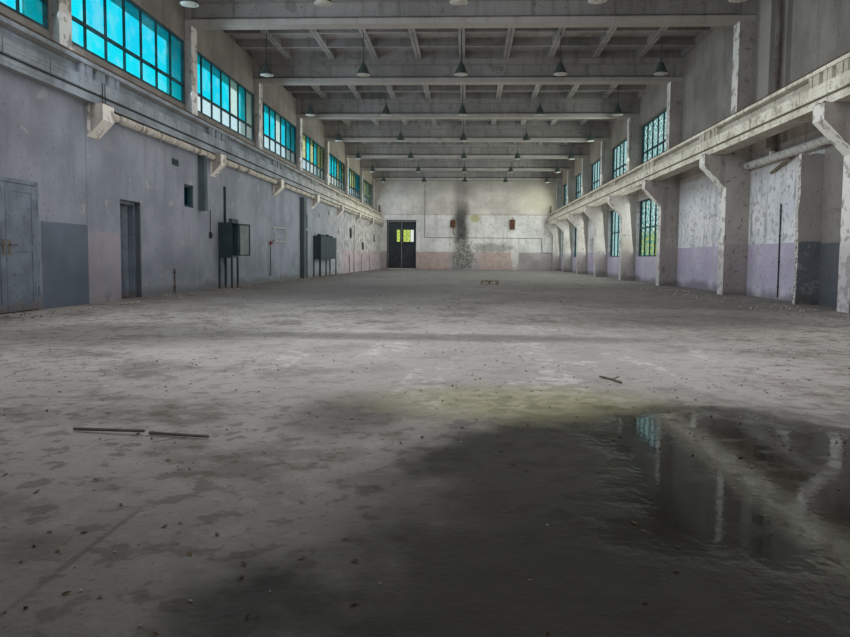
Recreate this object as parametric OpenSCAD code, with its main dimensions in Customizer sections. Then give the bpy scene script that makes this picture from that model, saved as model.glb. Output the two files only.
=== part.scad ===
// Single-nave crane hall of precast concrete frames, at half of its real size.
// X runs across the nave, Y along it towards the gate, Z up from the underside of the floor slab.
// Heights are given above the floor's top. Places along the hall are a column line and a share of a bay.

/* [Hall] */
// Number of bays
bays = 9; // [9:1:10]
// Length of a bay, from column line to column line
bay_l = 3000; // [2700:10:3300]
// Width between the outer faces of the two rows of columns
frame_w = 7660; // [6890:10:8430]
// Gap between the first columns and the near end wall
near_gap = 350; // [300:5:400]
// Thickness of the floor slab
floor_t = 75; // [60:5:120]
// Thickness of the side walls' panels
panel_t = 125; // [100:5:160]
// Thickness of the end walls
end_t = 150; // [120:5:200]
// Height of the parapet's top above the roof covering
parapet_h = 100; // [60:5:200]

/* [Columns] */
// Length of a column along the hall
column_l = 200; // [160:5:240]
// Depth of the lower shaft, across the hall
shaft_d = 310; // [275:5:345]
// Depth of the upper shaft
head_d = 210; // [180:5:240]
// Height of the girder seat on top of the upper shaft
column_h = 3550; // [3190:5:3910]
// Height of the corbel's top
corbel_h = 1845; // [1660:5:2030]
// Reach of the corbel in front of the lower shaft
corbel_reach = 290; // [260:5:320]
// Height of the corbel's upright nose
corbel_nose = 145; // [120:5:170]
// Height of the slope below the nose
corbel_slope = 295; // [260:5:330]

/* [Crane way] */
// Distance of the beam's edge behind the corbel's nose
beam_back = 50; // [30:5:60]
// Width of the crane beam's top flange
beam_w = 250; // [230:5:270]
// Width of the crane beam's bottom flange
foot_w = 210; // [190:5:230]
// Width of the crane beam's web
web_w = 140; // [120:5:160]
// Width over the panels on the web
band_w = 226; // [200:2:240]
// Height of the crane beam
beam_h = 345; // [315:5:375]
// Height of the bottom flange
foot_h = 70; // [60:1:80]
// Height of the panels on the web
band_h = 115; // [100:5:125]
// Joint between two beams
beam_gap = 12; // [8:1:20]
// Length of a panel between two joints
board_l = 575; // [500:5:640]
// Height of the rail
rail_h = 75; // [60:1:80]
// Width of the rail's foot
rail_foot = 66; // [56:1:80]
// Width of the rail's head
rail_head = 36; // [30:1:44]
// Height of the rails' end stops
stop_h = 365; // [330:5:400]

/* [Roof] */
// Height of a roof girder
girder_h = 400; // [360:5:440]
// Width of the girder's flanges
girder_w = 200; // [170:5:220]
// Thickness of the girder's web
girder_web = 80; // [60:5:100]
// Thickness of the girder's bottom flange at its edge
girder_flange = 80; // [60:5:100]
// Number of roof slabs across the hall
slabs_across = 10; // [8:2:12]
// Height of a roof slab with its ribs
slab_h = 150; // [130:5:180]
// Thickness of the slab's plate
plate_t = 20; // [15:1:30]
// Width of the slab's ribs
rib_w = 50; // [40:1:60]
// Joint between two slabs
slab_gap = 8; // [5:1:12]
// Thickness of the roof covering
cover_t = 60; // [40:5:90]

/* [Windows] */
// Distance of a window from the columns beside it
window_side = 20; // [10:5:60]
// Height of the clerestory's sill above the corbels
clere_rise = 645; // [600:5:700]
// Height of the clerestory's lower row of lights
clere_low_h = 260; // [230:5:290]
// Height of the clerestory windows
clere_h = 850; // [770:5:880]
// Distance of the lower windows' head below the corbels' top
low_drop = 120; // [90:5:150]
// Height of the lower windows' upper row of lights
low_upper_h = 585; // [520:5:650]
// Height of the lower windows
low_h = 1200; // [1080:5:1320]
// Width of a window frame's bars
bar_w = 26; // [20:1:34]
// Depth of a window frame
bar_d = 40; // [30:1:50]
// Thickness of the window glass
glass_t = 6; // [4:1:8]

/* [Left wall] */
// Thickness of the inner wall in front of the columns
inner_t = 140; // [130:5:155]
// Depth of the masonry between the upper shafts
fill_d = 125; // [110:5:140]
// Width of the single doorways
door_w = 440; // [400:5:480]
// Height of the single doorways
door_h = 1020; // [920:5:1060]
// Width of the double doorway
double_w = 825; // [745:5:905]
// Height of the double doorway
double_h = 1040; // [940:5:1140]
// Width of the door frames
jamb_w = 32; // [26:1:40]
// Thickness of the door leaves
leaf_t = 22; // [18:1:26]
// Angle at which the side door stands open
side_open = 45; // [20:1:60]

/* [Right wall] */
// Width of the outside doorway
outdoor_w = 600; // [540:5:660]
// Height of the outside doorway
outdoor_h = 1080; // [980:5:1180]
// Thickness of the cross wall
cross_t = 60; // [50:1:70]
// Reach of the cross wall in front of the outer wall
cross_reach = 235; // [210:5:260]
// Distance of the cross wall's top below the corbels' top
cross_drop = 260; // [240:5:290]

/* [Gate] */
// Distance of the gate opening from the corbels' noses
gate_side = 100; // [80:5:120]
// Width of the gate
gate_w = 1195; // [1080:5:1310]
// Height of the gate
gate_h = 1970; // [1780:5:2060]
// Thickness of a gate leaf
gate_t = 30; // [26:1:36]
// Height of the lower edge of the gate's lights
light_z = 1095; // [1000:5:1200]
// Height of the gate's lights
light_h = 480; // [430:5:530]
// Height of the ledge on the end walls
ledge_h = 2200; // [2100:5:2400]
// Depth of the ledge on the end walls
ledge_d = 60; // [40:5:80]

/* [Cabinets] */
// Width of the switch cabinet along the wall
cabinet_w = 270; // [245:5:295]
// Depth of the switch cabinet
cabinet_d = 200; // [180:5:220]
// Height of the switch cabinet's underside
cabinet_z = 430; // [390:5:470]
// Height of the switch cabinet's body
cabinet_h = 500; // [480:5:550]
// Height of the switch cabinet's door
cabinet_door_h = 470; // [425:5:475]
// Angle at which the switch cabinet's door stands open
cabinet_open = 163; // [120:1:168]
// Width of the second cabinet along the wall
second_w = 1850; // [1665:5:2035]
// Depth of the second cabinet
second_d = 175; // [155:5:195]
// Height of the second cabinet's bottom
second_z = 410; // [370:5:450]
// Height of the second cabinet's body
second_h = 530; // [480:5:580]

/* [Services] */
// Diameter of the lagged pipe on the left
left_pipe_d = 90; // [80:2:100]
// Diameter of the lagged pipe on the right
right_pipe_d = 110; // [100:2:120]
// Distance of the right pipe's axis below the corbels' top
right_pipe_drop = 155; // [140:5:170]
// Diameter of the pipe from the right lagged pipe up to the roof
down_pipe_d = 70; // [60:2:80]
// Width of the wall duct along the wall
duct_w = 95; // [85:5:110]
// Depth of the wall duct
duct_d = 85; // [75:5:95]
// Height of the wall duct's lower end
duct_z = 1045; // [940:5:1150]
// Width of the floor duct beside the second doorway
floor_duct_w = 225; // [200:5:250]
// Distance of the floor duct's top below the corbels' top
floor_duct_drop = 145; // [135:5:160]
// Diameter of the lamp shades
lamp_d = 205; // [185:5:225]
// Height of a lamp's shade with its holder
lamp_h = 245; // [220:5:270]
// Distance of the lamps' rims below the girder seats
lamp_drop = 240; // [215:5:265]

/* [Hidden] */
$fn = 32;

col_x = frame_w / 2;                    // outer face of the columns
shaft_x = col_x - shaft_d;              // inner face of the lower shafts
nose_x = shaft_x - corbel_reach;        // nose of the corbels
slope_z = corbel_h - corbel_nose - corbel_slope;
wall_x = col_x + panel_t;               // outer face of the side walls
inner_x = shaft_x - inner_t;            // hall face of the inner wall on the left
ledge_y = (bays * bay_l + near_gap) / 2 + column_l / 2; // inner face of the lower end walls
in_y = ledge_y + ledge_d;               // inner face of the upper end walls
out_y = in_y + end_t;                   // outer face of the end walls
beam_x = nose_x + beam_back + beam_w / 2;
beam_top = corbel_h + beam_h;
slab_z = column_h + girder_h;           // underside of the roof slabs
roof_z = slab_z + slab_h;               // top of the roof slabs
wall_top = roof_z + cover_t + parapet_h;
slab_pitch = frame_w / slabs_across;
slab_fields = 4;                        // fields of a roof slab between its cross ribs
fit = 2;                                // clearance round a piece built into a wall
clear = 5;                              // clearance round a moving piece

head_t = 35;                            // height of the crane beam's top flange at its edge
flange_rise = 20;                       // rise of a flange's slope towards the web
band_gap = 20;                          // gap below the panels on the web
band_z = foot_h + band_gap;
board_gap = 12;                         // joint between two panels
board_first = 490;                      // first joint, from the column line
board_joints = 4;
teeth = [[0, 65], [140, 100], [265, 60]]; // ribs at each end of a crane beam: distance from the end, width
rail_web = 12;
rail_edge = 8;                          // height of the rail's foot and head at their edges
stop_l = 90;                            // length of an end stop at its foot
stop_t = 60;
stop_face = 36;                         // length of an end stop at its top
seat_share = 0.8;                       // width of a girder's solid end, as a share of its flanges

knuckle_r = 8;
knuckle_l = 70;
knuckle_out = 6;                        // distance of a hinge axis from its leaf's face
strap_l = 40;
door_knuckles = [0.12, 0.82];           // places of the knuckles, as shares of a leaf's height
gate_knuckles = [0.08, 0.48, 0.88];
panel_in = 5;                           // depth of the panels in a leaf
rail_share = 0.16;                      // width of a door leaf's rails, as a share of its width
door_rise = 8;                          // gap under a leaf
frame_d = 60;                           // depth of the door frames
side_back = 65;                         // place of the side door's frame behind the wall's face
outer_back = 6;                         // place of the outer leaves behind the wall's outer face
outer_leaf_t = 24;
cheek_t = 60;                           // thickness of the cheeks beside a left doorway
sheet_t = 5;                            // sheet metal of the cabinets
leg_w = 25;
door_rim = 18;                          // folded rim of the cabinet's door
door_fold = 14;
conduit_r = 16;
conduit_l = 525;
cap_d = 50;                             // box along the front of the switch cabinet's top
cap_h = 55;
pipe_r = 10;                            // pipe on the gate wall
pipe_high_z = 1275;
pipe_low_z = 695;
pipe_in = 340;                          // distance of the pipe from the gate
pipe_out = 130;                         // distance of the pipe from the corbels' noses
rod_r = 6;
neck_r = 14;

clere_sill = corbel_h + clere_rise;
clere_transom = clere_sill + clere_low_h;
clere_head = clere_sill + clere_h;
low_head = corbel_h - low_drop;
cross_h = corbel_h - cross_drop;
floor_duct_h = corbel_h - floor_duct_drop;
low_transom = low_head - low_upper_h;
low_sill = low_head - low_h;
window_l = bay_l - column_l - 2 * window_side;
right_plane = col_x + panel_t / 2;      // inner face of the frames in the right wall
left_plane = col_x - fill_d + fit;      // inner face of the frames in the left clerestory

// Windows of the inner wall: column line, share of the bay, length, sill and head
small_windows = [[2, 0.727, 295, 1065, 1345], [6, 0.7, 400, 1025, 1340],
    [7, 0.488, 440, 705, 970], [8, 0.43, 360, 1040, 1330]];
hatch = [4, 0.8, 280, 1085, 1370];      // small window over the second doorway
// Doorways: column line, share of the bay, width and height
double_way = [1, 0.58, double_w, double_h];
side_way = [2, 0.228, door_w, door_h];
plain_way = [4, 0.78, door_w, door_h];
left_ways = [double_way, side_way, plain_way];
out_way = [6, 0.75, outdoor_w, outdoor_h];
left_clere = [for (k = [0:bays - 1]) k];
right_clere = [for (k = [4:bays - 1]) k];
right_low = [for (k = [4:bays - 1]) if (k != out_way[0]) k];

gate_lo = -nose_x + gate_side;          // left edge of the gate opening
gate_hi = gate_lo + gate_w;
gate_jamb = 40;                         // width of the gate frame
gate_frame_d = 80;
gate_back = 15;                         // place of the leaves behind the wall's outer face
gate_face = out_y - gate_back;          // outer face of the gate leaves
gate_rise = 10;                         // gap under the gate leaves
gate_rail = 60;                         // width of a gate leaf's rails
light_gap = 12;                         // bar between two lights
gate_leaf_w = gate_w / 2 - gate_jamb - 1.5 * clear;
gate_leaf_h = gate_h - gate_jamb - clear - gate_rise;
light_pitch = (gate_leaf_w - 2 * gate_rail) / 3;
double_leaf_w = double_w / 2 - jamb_w - 1.5 * clear;
double_leaf_h = double_h - jamb_w - clear - door_rise;
side_leaf_w = door_w - 2 * jamb_w - 2 * clear;
side_leaf_h = door_h - jamb_w - clear - door_rise;
cabinet_y = place(3, 0.058);            // near end of the switch cabinet
cabinet_x = cabinet_d - inner_x;        // front of the switch cabinet
cabinet_door_z = cabinet_z + cabinet_h - cabinet_door_h;
second_y = place(5, 0.035);             // near end of the second cabinet
cross_y = place(2, 0.35);               // near face of the cross wall
duct_y = place(2, 0.843);               // middle of the wall duct
floor_duct_y = way_lo(plain_way) - 20;  // far side of the floor duct
left_pipe_z = corbel_h - left_pipe_d / 2 - clear;
right_pipe_z = corbel_h - right_pipe_drop;
down_pipe_y = place(2, 0.71);
collar_d = down_pipe_d + 24;            // lagged collar at the foot of that pipe
collar_h = right_pipe_d / 2 + 18;       // its top above the lagged pipe's axis
lamp_sides = floor((slabs_across / 2 - 1) / 2);

function line_y(k) = k * bay_l + near_gap + column_l / 2 - ledge_y;
function place(k, share) = line_y(k) + share * bay_l;
function mid_y(k) = line_y(k) + bay_l / 2;
function way_lo(w) = place(w[0], w[1]) - w[2] / 2;
function way_hi(w) = place(w[0], w[1]) + w[2] / 2;
function turned(points) = [for (i = [len(points) - 1:-1:0]) [-points[i][0], points[i][1]]];
function light_y(i) = gate_rail + i * light_pitch + light_gap / 2;

// A box between a low and a high corner, with heights above the floor's top
module block(lo, hi) {
    translate([lo[0], lo[1], lo[2] + floor_t]) cube([hi[0] - lo[0], hi[1] - lo[1], hi[2] - lo[2]]);
}

// An outline in X and Z, extruded along Y from y0 to y1
module along_y(y0, y1) {
    translate([0, y1, floor_t]) rotate([90, 0, 0]) linear_extrude(y1 - y0) children();
}

// An outline in Y and Z, extruded along X from x0 to x1
module along_x(x0, x1) {
    translate([x0, 0, floor_t]) rotate([90, 0, 90]) linear_extrude(x1 - x0) children();
}

// An outline that is the same on both sides of its middle
module even_outline(half) {
    polygon(concat(half, turned(half)));
}

// An upright ring of bars between a low and a high corner, with a transom where one is asked for
module bars(lo, hi, bar, transom = 0) {
    clear_w = hi[0] - lo[0] - 2 * bar;
    first_top = transom ? transom - bar / 2 : hi[1] - bar;
    difference() {
        translate(lo) square(hi - lo);
        translate(lo + [bar, bar]) square([clear_w, first_top - lo[1] - bar]);
        if (transom) translate([lo[0] + bar, transom + bar / 2])
            square([clear_w, hi[1] - bar - transom - bar / 2]);
    }
}

// A frame on three sides of a doorway that stands on the floor
module door_bars(lo, hi, bar) {
    difference() {
        translate(lo) square(hi - lo);
        translate([lo[0] + bar, lo[1] - 1]) square([hi[0] - lo[0] - 2 * bar, hi[1] - bar - lo[1] + 1]);
    }
}

// Floor slab between the walls, cut out for the columns, with a sill in every doorway
module floor_slab() {
    color("dimgray") difference() {
        union() {
            block([-col_x, -ledge_y, -floor_t], [col_x, ledge_y, 0]);
            block([gate_lo, 0, -floor_t], [gate_hi, out_y, 0]);
            for (w = left_ways) block([-wall_x, way_lo(w), -floor_t], [0, way_hi(w), 0]);
            block([0, way_lo(out_way), -floor_t], [wall_x, way_hi(out_way), 0]);
        }
        for (k = [0:bays], s = [-1, 1]) translate([s * (col_x - shaft_d / 2), line_y(k), floor_t / 2])
            cube([shaft_d, column_l, 2 * floor_t], center = true);
    }
}

// Outline of the room that a corbel takes in the inner wall, for the right side
module corbel_room() {
    polygon([[shaft_x + 1, corbel_h + 1], [nose_x, corbel_h + 1], [nose_x, corbel_h - corbel_nose - fit],
        [shaft_x, slope_z - fit], [shaft_x + 1, slope_z - fit]]);
}

module column(k) {
    along_y(line_y(k) - column_l / 2, line_y(k) + column_l / 2)
        polygon([[col_x, -floor_t], [col_x, column_h], [col_x - head_d, column_h], [col_x - head_d, corbel_h],
            [nose_x, corbel_h], [nose_x, corbel_h - corbel_nose], [shaft_x, slope_z], [shaft_x, -floor_t]]);
}

module columns_right() {
    color("tan") for (k = [0:bays]) column(k);
}

module columns_left() {
    color("tan") mirror([1, 0, 0]) for (k = [0:bays]) column(k);
}

// A crane beam: bottom flange, web with a band of panels, ribs at both ends, and a top flange for the rail
module crane_beam(k) {
    y0 = line_y(k) + beam_gap / 2;
    y1 = line_y(k + 1) - beam_gap / 2;
    difference() {
        union() {
            along_y(y0, y1) translate([beam_x, corbel_h]) even_outline([[foot_w / 2, 0], [foot_w / 2, foot_h],
                [web_w / 2, foot_h], [web_w / 2, band_z], [band_w / 2, band_z], [band_w / 2, band_z + band_h],
                [web_w / 2, band_z + band_h], [web_w / 2, beam_h - head_t - flange_rise],
                [beam_w / 2, beam_h - head_t], [beam_w / 2, beam_h]]);
            for (tooth = teeth, y = [y0 + tooth[0], y1 - tooth[0] - tooth[1]])
                block([beam_x - band_w / 2, y, corbel_h + band_z + band_h - 1],
                    [beam_x + band_w / 2, y + tooth[1], beam_top - head_t]);
        }
        for (i = [0:board_joints - 1], side = [[-band_w / 2 - 1, -web_w / 2], [web_w / 2, band_w / 2 + 1]])
            block([beam_x + side[0], line_y(k) + board_first + i * board_l, corbel_h + band_z - 1],
                [beam_x + side[1], line_y(k) + board_first + i * board_l + board_gap,
                corbel_h + band_z + band_h + 1]);
    }
}

module crane_beams_right() {
    color("cornsilk") for (k = [0:bays - 1]) crane_beam(k);
}

module crane_beams_left() {
    color("cornsilk") mirror([1, 0, 0]) for (k = [0:bays - 1]) crane_beam(k);
}

// Rails on both crane beams, and the stops that close the crane way at its ends
module crane_rails() {
    foot = rail_foot / 2;
    head = rail_head / 2;
    web = rail_web / 2;
    ends = [line_y(0) + beam_gap / 2, line_y(bays) - beam_gap / 2];
    color("dimgray") for (s = [0, 1]) mirror([s, 0, 0]) {
        along_y(ends[0] + stop_l + clear, ends[1] - stop_l - clear) translate([beam_x, beam_top])
            even_outline([[foot, 0], [foot, rail_edge], [web, 2 * rail_edge], [web, rail_h - 3 * rail_edge],
                [head, rail_h - 2 * rail_edge], [head, rail_h]]);
        along_x(beam_x - stop_t / 2, beam_x + stop_t / 2) translate([0, beam_top]) {
            polygon([[ends[0], 0], [ends[0] + stop_l, 0], [ends[0] + stop_face, stop_h], [ends[0], stop_h]]);
            polygon([[ends[1], 0], [ends[1] - stop_l, 0], [ends[1] - stop_face, stop_h], [ends[1], stop_h]]);
        }
    }
}

// Roof girders: a web between two flanges, and solid ends over the columns
module roof_girders() {
    w = girder_w / 2;
    web = girder_web / 2;
    color("gray") for (k = [0:bays]) union() {
        along_x(-col_x + fit, col_x - fit) translate([line_y(k), column_h]) even_outline([[w, 0],
            [w, girder_flange], [web, girder_flange + 2 * flange_rise],
            [web, girder_h - girder_flange - flange_rise], [w, girder_h - girder_flange], [w, girder_h]]);
        for (s = [-1, 1])
            translate([s * (col_x - fit - head_d / 2), line_y(k), floor_t + column_h + girder_h / 2])
            cube([head_d, seat_share * girder_w, girder_h], center = true);
    }
}

// One ribbed roof slab between two girders, open below between its ribs
module roof_slab(i, k) {
    x0 = -col_x + i * slab_pitch + slab_gap / 2;
    x1 = x0 + slab_pitch - slab_gap;
    y0 = k == 0 ? -in_y : line_y(k) + slab_gap / 2;
    y1 = k == bays - 1 ? in_y : line_y(k + 1) - slab_gap / 2;
    end_rib = girder_w / 2;
    pitch = (y1 - y0 - 2 * end_rib + rib_w) / slab_fields;
    difference() {
        block([x0, y0, slab_z], [x1, y1, roof_z]);
        for (j = [0:slab_fields - 1])
            block([x0 + rib_w, y0 + end_rib + j * pitch, slab_z - 1],
                [x1 - rib_w, y0 + end_rib + (j + 1) * pitch - rib_w, roof_z - plate_t]);
    }
}

module roof_slabs() {
    color("darkgray") for (i = [0:slabs_across - 1], k = [0:bays - 1]) roof_slab(i, k);
}

module roof_covering() {
    color("darkslategray") block([-col_x, -in_y, roof_z], [col_x, in_y, roof_z + cover_t]);
}

// Lower part of the inner wall on the left, left open at the doorways and built round the corbels
module left_inner_wall() {
    edges = concat([-ledge_y], [for (w = left_ways) for (y = [way_lo(w), way_hi(w)]) y], [ledge_y]);
    color("gainsboro") difference() {
        for (i = [0:2:len(edges) - 1]) block([-shaft_x, edges[i], 0], [-inner_x, edges[i + 1], corbel_h]);
        mirror([1, 0, 0]) for (k = [0:bays])
            along_y(line_y(k) - column_l / 2 - fit, line_y(k) + column_l / 2 + fit) corbel_room();
        for (w = small_windows) block([-shaft_x - 1, way_lo(w), w[3]], [-inner_x + 1, way_hi(w), w[4]]);
    }
}

module left_outer_wall() {
    edges = concat([-out_y], [for (w = left_ways) for (y = [way_lo(w), way_hi(w)]) y], [out_y]);
    color("lightgray") for (i = [0:2:len(edges) - 1])
        block([-wall_x, edges[i], -floor_t], [-col_x, edges[i + 1], corbel_h]);
}

// Upper part of the left wall, thick enough between the columns to carry the windows near its inner face
module left_upper_wall() {
    fill_y = max(column_l, girder_w) / 2 + fit;
    color("lightgray") difference() {
        union() {
            block([-wall_x, -out_y, corbel_h], [-col_x, out_y, wall_top]);
            for (k = left_clere) block([-col_x - 1, line_y(k) + fill_y, corbel_h],
                [fill_d - col_x, line_y(k + 1) - fill_y, slab_z]);
        }
        for (k = left_clere) block([-wall_x - 1, mid_y(k) - window_l / 2, clere_sill],
            [fill_d - col_x + 1, mid_y(k) + window_l / 2, clere_head]);
    }
}

module right_upper_wall() {
    color("lightgray") along_x(col_x, wall_x) difference() {
        translate([-out_y, corbel_h]) square([2 * out_y, wall_top - corbel_h]);
        for (k = right_clere) translate([mid_y(k) - window_l / 2, clere_sill]) square([window_l, clere_h]);
    }
}

// Deep lintels that bridge the inner and the outer wall over the left doorways
module door_lintels() {
    color("gainsboro") difference() {
        for (w = left_ways) block([-wall_x, way_lo(w), w[3]], [-inner_x, way_hi(w), corbel_h]);
        block([-shaft_x, way_lo(hatch), hatch[3]], [-inner_x + 1, way_hi(hatch), hatch[4]]);
    }
}

// Cheeks that close the gap between the two walls beside the left doorways
module door_jambs() {
    color("gainsboro") for (w = left_ways) {
        block([-col_x, way_lo(w) - cheek_t, 0], [-shaft_x, way_lo(w), w[3]]);
        block([-col_x, way_hi(w), 0], [-shaft_x, way_hi(w) + cheek_t, w[3]]);
    }
}

// Steel leaves that close the left doorways on the outside
module outer_doors() {
    color("slategray") for (w = left_ways)
        block([-wall_x + outer_back, way_lo(w), 0], [-wall_x + outer_back + outer_leaf_t, way_hi(w), w[3]]);
}

// Outside wall on the right, with its lower windows and one doorway
module right_outer_wall() {
    edges = [-out_y, way_lo(out_way), way_hi(out_way), out_y];
    color("lightgray") difference() {
        for (i = [0, 2]) block([col_x, edges[i], -floor_t], [wall_x, edges[i + 1], corbel_h]);
        for (k = right_low) block([col_x - 1, mid_y(k) - window_l / 2, low_sill],
            [wall_x + 1, mid_y(k) + window_l / 2, low_head]);
    }
}

module right_door_lintel() {
    color("lightgray") block([col_x, way_lo(out_way), outdoor_h], [wall_x, way_hi(out_way), corbel_h]);
}

// Short wall across the space between two columns, broken off at its top and along its free edge
module cross_wall() {
    x0 = col_x - cross_reach;
    color("gray") along_y(cross_y, cross_y + cross_t) polygon([[x0 - 5, 0], [col_x, 0], [col_x, cross_h - 15],
        [x0 + 150, cross_h - 5], [x0 + 90, cross_h - 22], [x0 + 40, cross_h], [x0 + 4, cross_h - 10],
        [x0, cross_h - 160], [x0 + 8, 0.72 * cross_h], [x0 - 12, 0.62 * cross_h], [x0 - 2, 0.5 * cross_h],
        [x0 + 6, 0.3 * cross_h]]);
}

// Lower part of the gate wall, on both sides of the gate
module far_wall() {
    color("lightgray") {
        block([-col_x, ledge_y, -floor_t], [gate_lo, out_y, ledge_h]);
        block([gate_hi, ledge_y, -floor_t], [col_x, out_y, ledge_h]);
    }
}

module gate_lintel() {
    color("lightgray") block([gate_lo, ledge_y, gate_h], [gate_hi, out_y, ledge_h]);
}

module far_upper_wall() {
    color("lightgray") block([-col_x, in_y, ledge_h], [col_x, out_y, wall_top]);
}

module near_wall() {
    color("lightgray") mirror([0, 1, 0]) along_x(-col_x, col_x)
        polygon([[ledge_y, -floor_t], [out_y, -floor_t], [out_y, wall_top], [in_y, wall_top], [in_y, ledge_h],
            [ledge_y, ledge_h]]);
}

// Frames of one row of windows in a plane of the right side
module frame_row(list, plane, sill, transom, head) {
    for (k = list) along_x(plane, plane + bar_d)
        bars([mid_y(k) - window_l / 2, sill], [mid_y(k) + window_l / 2, head], bar_w, transom);
}

// One sheet of glass on the outside of each frame of a row
module glass_row(list, plane, sill, head) {
    for (k = list) block([plane + bar_d, mid_y(k) - window_l / 2, sill],
        [plane + bar_d + glass_t, mid_y(k) + window_l / 2, head]);
}

module clerestory_frames() {
    color("darkslategray") {
        frame_row(right_clere, right_plane, clere_sill, clere_transom, clere_head);
        mirror([1, 0, 0]) frame_row(left_clere, left_plane, clere_sill, clere_transom, clere_head);
    }
}

module clerestory_glass() {
    color("paleturquoise", 0.5) {
        glass_row(right_clere, right_plane, clere_sill, clere_head);
        mirror([1, 0, 0]) glass_row(left_clere, left_plane, clere_sill, clere_head);
    }
}

module lower_window_frames() {
    x = -inner_x - inner_t / 2;
    color("darkslategray") {
        frame_row(right_low, right_plane, low_sill, low_transom, low_head);
        for (w = concat(small_windows, [hatch]))
            along_x(x, x + bar_d) bars([way_lo(w), w[3]], [way_hi(w), w[4]], bar_w);
    }
}

module lower_window_glass() {
    x = -inner_x - inner_t / 2;
    color("paleturquoise", 0.5) {
        glass_row(right_low, right_plane, low_sill, low_head);
        for (w = concat(small_windows, [hatch])) block([x - glass_t, way_lo(w), w[3]], [x, way_hi(w), w[4]]);
    }
}

// Knuckles of a leaf on its hinge axis, each with a strap onto the leaf's face
module knuckles(places, h, strap) {
    for (share = places) {
        translate([0, 0, share * h]) cylinder(r = knuckle_r, h = knuckle_l);
        translate([-knuckle_out, 0, share * h]) cube([4, strap, knuckle_l]);
    }
}

// A door leaf in its own place: hinge axis on Z, leaf along +Y, opening side towards +X
module door_leaf(w, h, t, panels) {
    rail = rail_share * w;
    panel_h = (h - rail) / panels;
    difference() {
        translate([-knuckle_out - t, 0, 0]) cube([t, w, h]);
        for (x = [-knuckle_out - t - 1, -knuckle_out - panel_in], i = [0:panels - 1])
            translate([x, rail, rail + i * panel_h]) cube([panel_in + 1, w - 2 * rail, panel_h - rail]);
    }
    knuckles(door_knuckles, h, strap_l);
}

module double_door_frame() {
    color("slategray") along_x(-inner_x - frame_d, -inner_x)
        door_bars([way_lo(double_way), 0], [way_hi(double_way), double_h], jamb_w);
}

module double_door_near_leaf() {
    color("cadetblue")
        translate([-inner_x + clear + knuckle_out, way_lo(double_way) + jamb_w + clear, floor_t + door_rise])
        door_leaf(double_leaf_w, double_leaf_h, leaf_t, 2);
}

module double_door_far_leaf() {
    color("cadetblue")
        translate([-inner_x + clear + knuckle_out, way_hi(double_way) - jamb_w - clear, floor_t + door_rise])
        mirror([0, 1, 0]) door_leaf(double_leaf_w, double_leaf_h, leaf_t, 2);
}

module side_door_frame() {
    color("slategray") along_x(-inner_x - side_back - frame_d, -inner_x - side_back)
        door_bars([way_lo(side_way), 0], [way_hi(side_way), door_h], jamb_w);
}

module side_door_leaf() {
    x = -inner_x - side_back - frame_d - clear - knuckle_out;
    color("cadetblue") translate([x, way_hi(side_way) - jamb_w - clear, floor_t + door_rise])
        rotate([0, 0, 180 - side_open]) door_leaf(side_leaf_w, side_leaf_h, leaf_t, 3);
}

module gate_frame() {
    color("darkslategray") translate([0, gate_face - clear, floor_t]) rotate([90, 0, 0])
        linear_extrude(gate_frame_d) door_bars([gate_lo, 0], [gate_hi, gate_h], gate_jamb);
}

// A gate leaf: hinge axis on Z, leaf along +Y, opening side towards +X, with a row of lights
module gate_leaf(w, h, lights) {
    back = -knuckle_out - gate_t - 1;
    difference() {
        translate([-knuckle_out - gate_t, 0, 0]) cube([gate_t, w, h]);
        for (z = [[gate_rail, light_z - gate_rail], [light_z + light_h + gate_rail, h - gate_rail]])
            translate([back, gate_rail, z[0]]) cube([gate_t - 2 * panel_in, w - 2 * gate_rail, z[1] - z[0]]);
        for (y = lights) translate([back, y, light_z]) cube([gate_t + 2, light_pitch - light_gap, light_h]);
    }
    knuckles(gate_knuckles, h, gate_rail);
}

module gate_glass(lights) {
    for (y = lights) translate([-knuckle_out - (gate_t + glass_t) / 2, y, light_z])
        cube([glass_t, light_pitch - light_gap, light_h]);
}

module at_left_gate_hinge() {
    translate([gate_lo + gate_jamb + clear, gate_face + knuckle_out, floor_t + gate_rise])
        mirror([1, -1, 0]) children();
}

module at_right_gate_hinge() {
    translate([gate_hi - gate_jamb - clear, gate_face + knuckle_out, floor_t + gate_rise])
        rotate([0, 0, 90]) children();
}

module gate_left_leaf() {
    color("darkslategray") at_left_gate_hinge() gate_leaf(gate_leaf_w, gate_leaf_h, [light_y(2)]);
}

module gate_right_leaf() {
    color("darkslategray") at_right_gate_hinge()
        gate_leaf(gate_leaf_w, gate_leaf_h, [for (i = [0:2]) light_y(i)]);
}

module gate_left_glass() {
    color("paleturquoise", 0.5) at_left_gate_hinge() gate_glass([light_y(2)]);
}

module gate_right_glass() {
    color("paleturquoise", 0.5) at_right_gate_hinge() gate_glass([for (i = [0:2]) light_y(i)]);
}

// Switch cabinet on legs, open at the front, with a box on its top and a conduit behind that
module switch_cabinet() {
    y1 = cabinet_y + cabinet_w;
    top = cabinet_z + cabinet_h;
    color("darkslategray") {
        difference() {
            block([-inner_x, cabinet_y, cabinet_z], [cabinet_x, y1, top]);
            block([-inner_x + sheet_t, cabinet_y + sheet_t, cabinet_door_z + sheet_t],
                [cabinet_x + 1, y1 - sheet_t, top - sheet_t]);
        }
        for (x = [-inner_x, cabinet_x - leg_w], y = [cabinet_y, y1 - leg_w])
            block([x, y, 0], [x + leg_w, y + leg_w, cabinet_z]);
        block([cabinet_x - cap_d, cabinet_y, top], [cabinet_x, y1, top + cap_h]);
        translate([-inner_x + conduit_r, y1 - 2 * conduit_r, floor_t + top])
            cylinder(r = conduit_r, h = conduit_l);
    }
}

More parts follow.
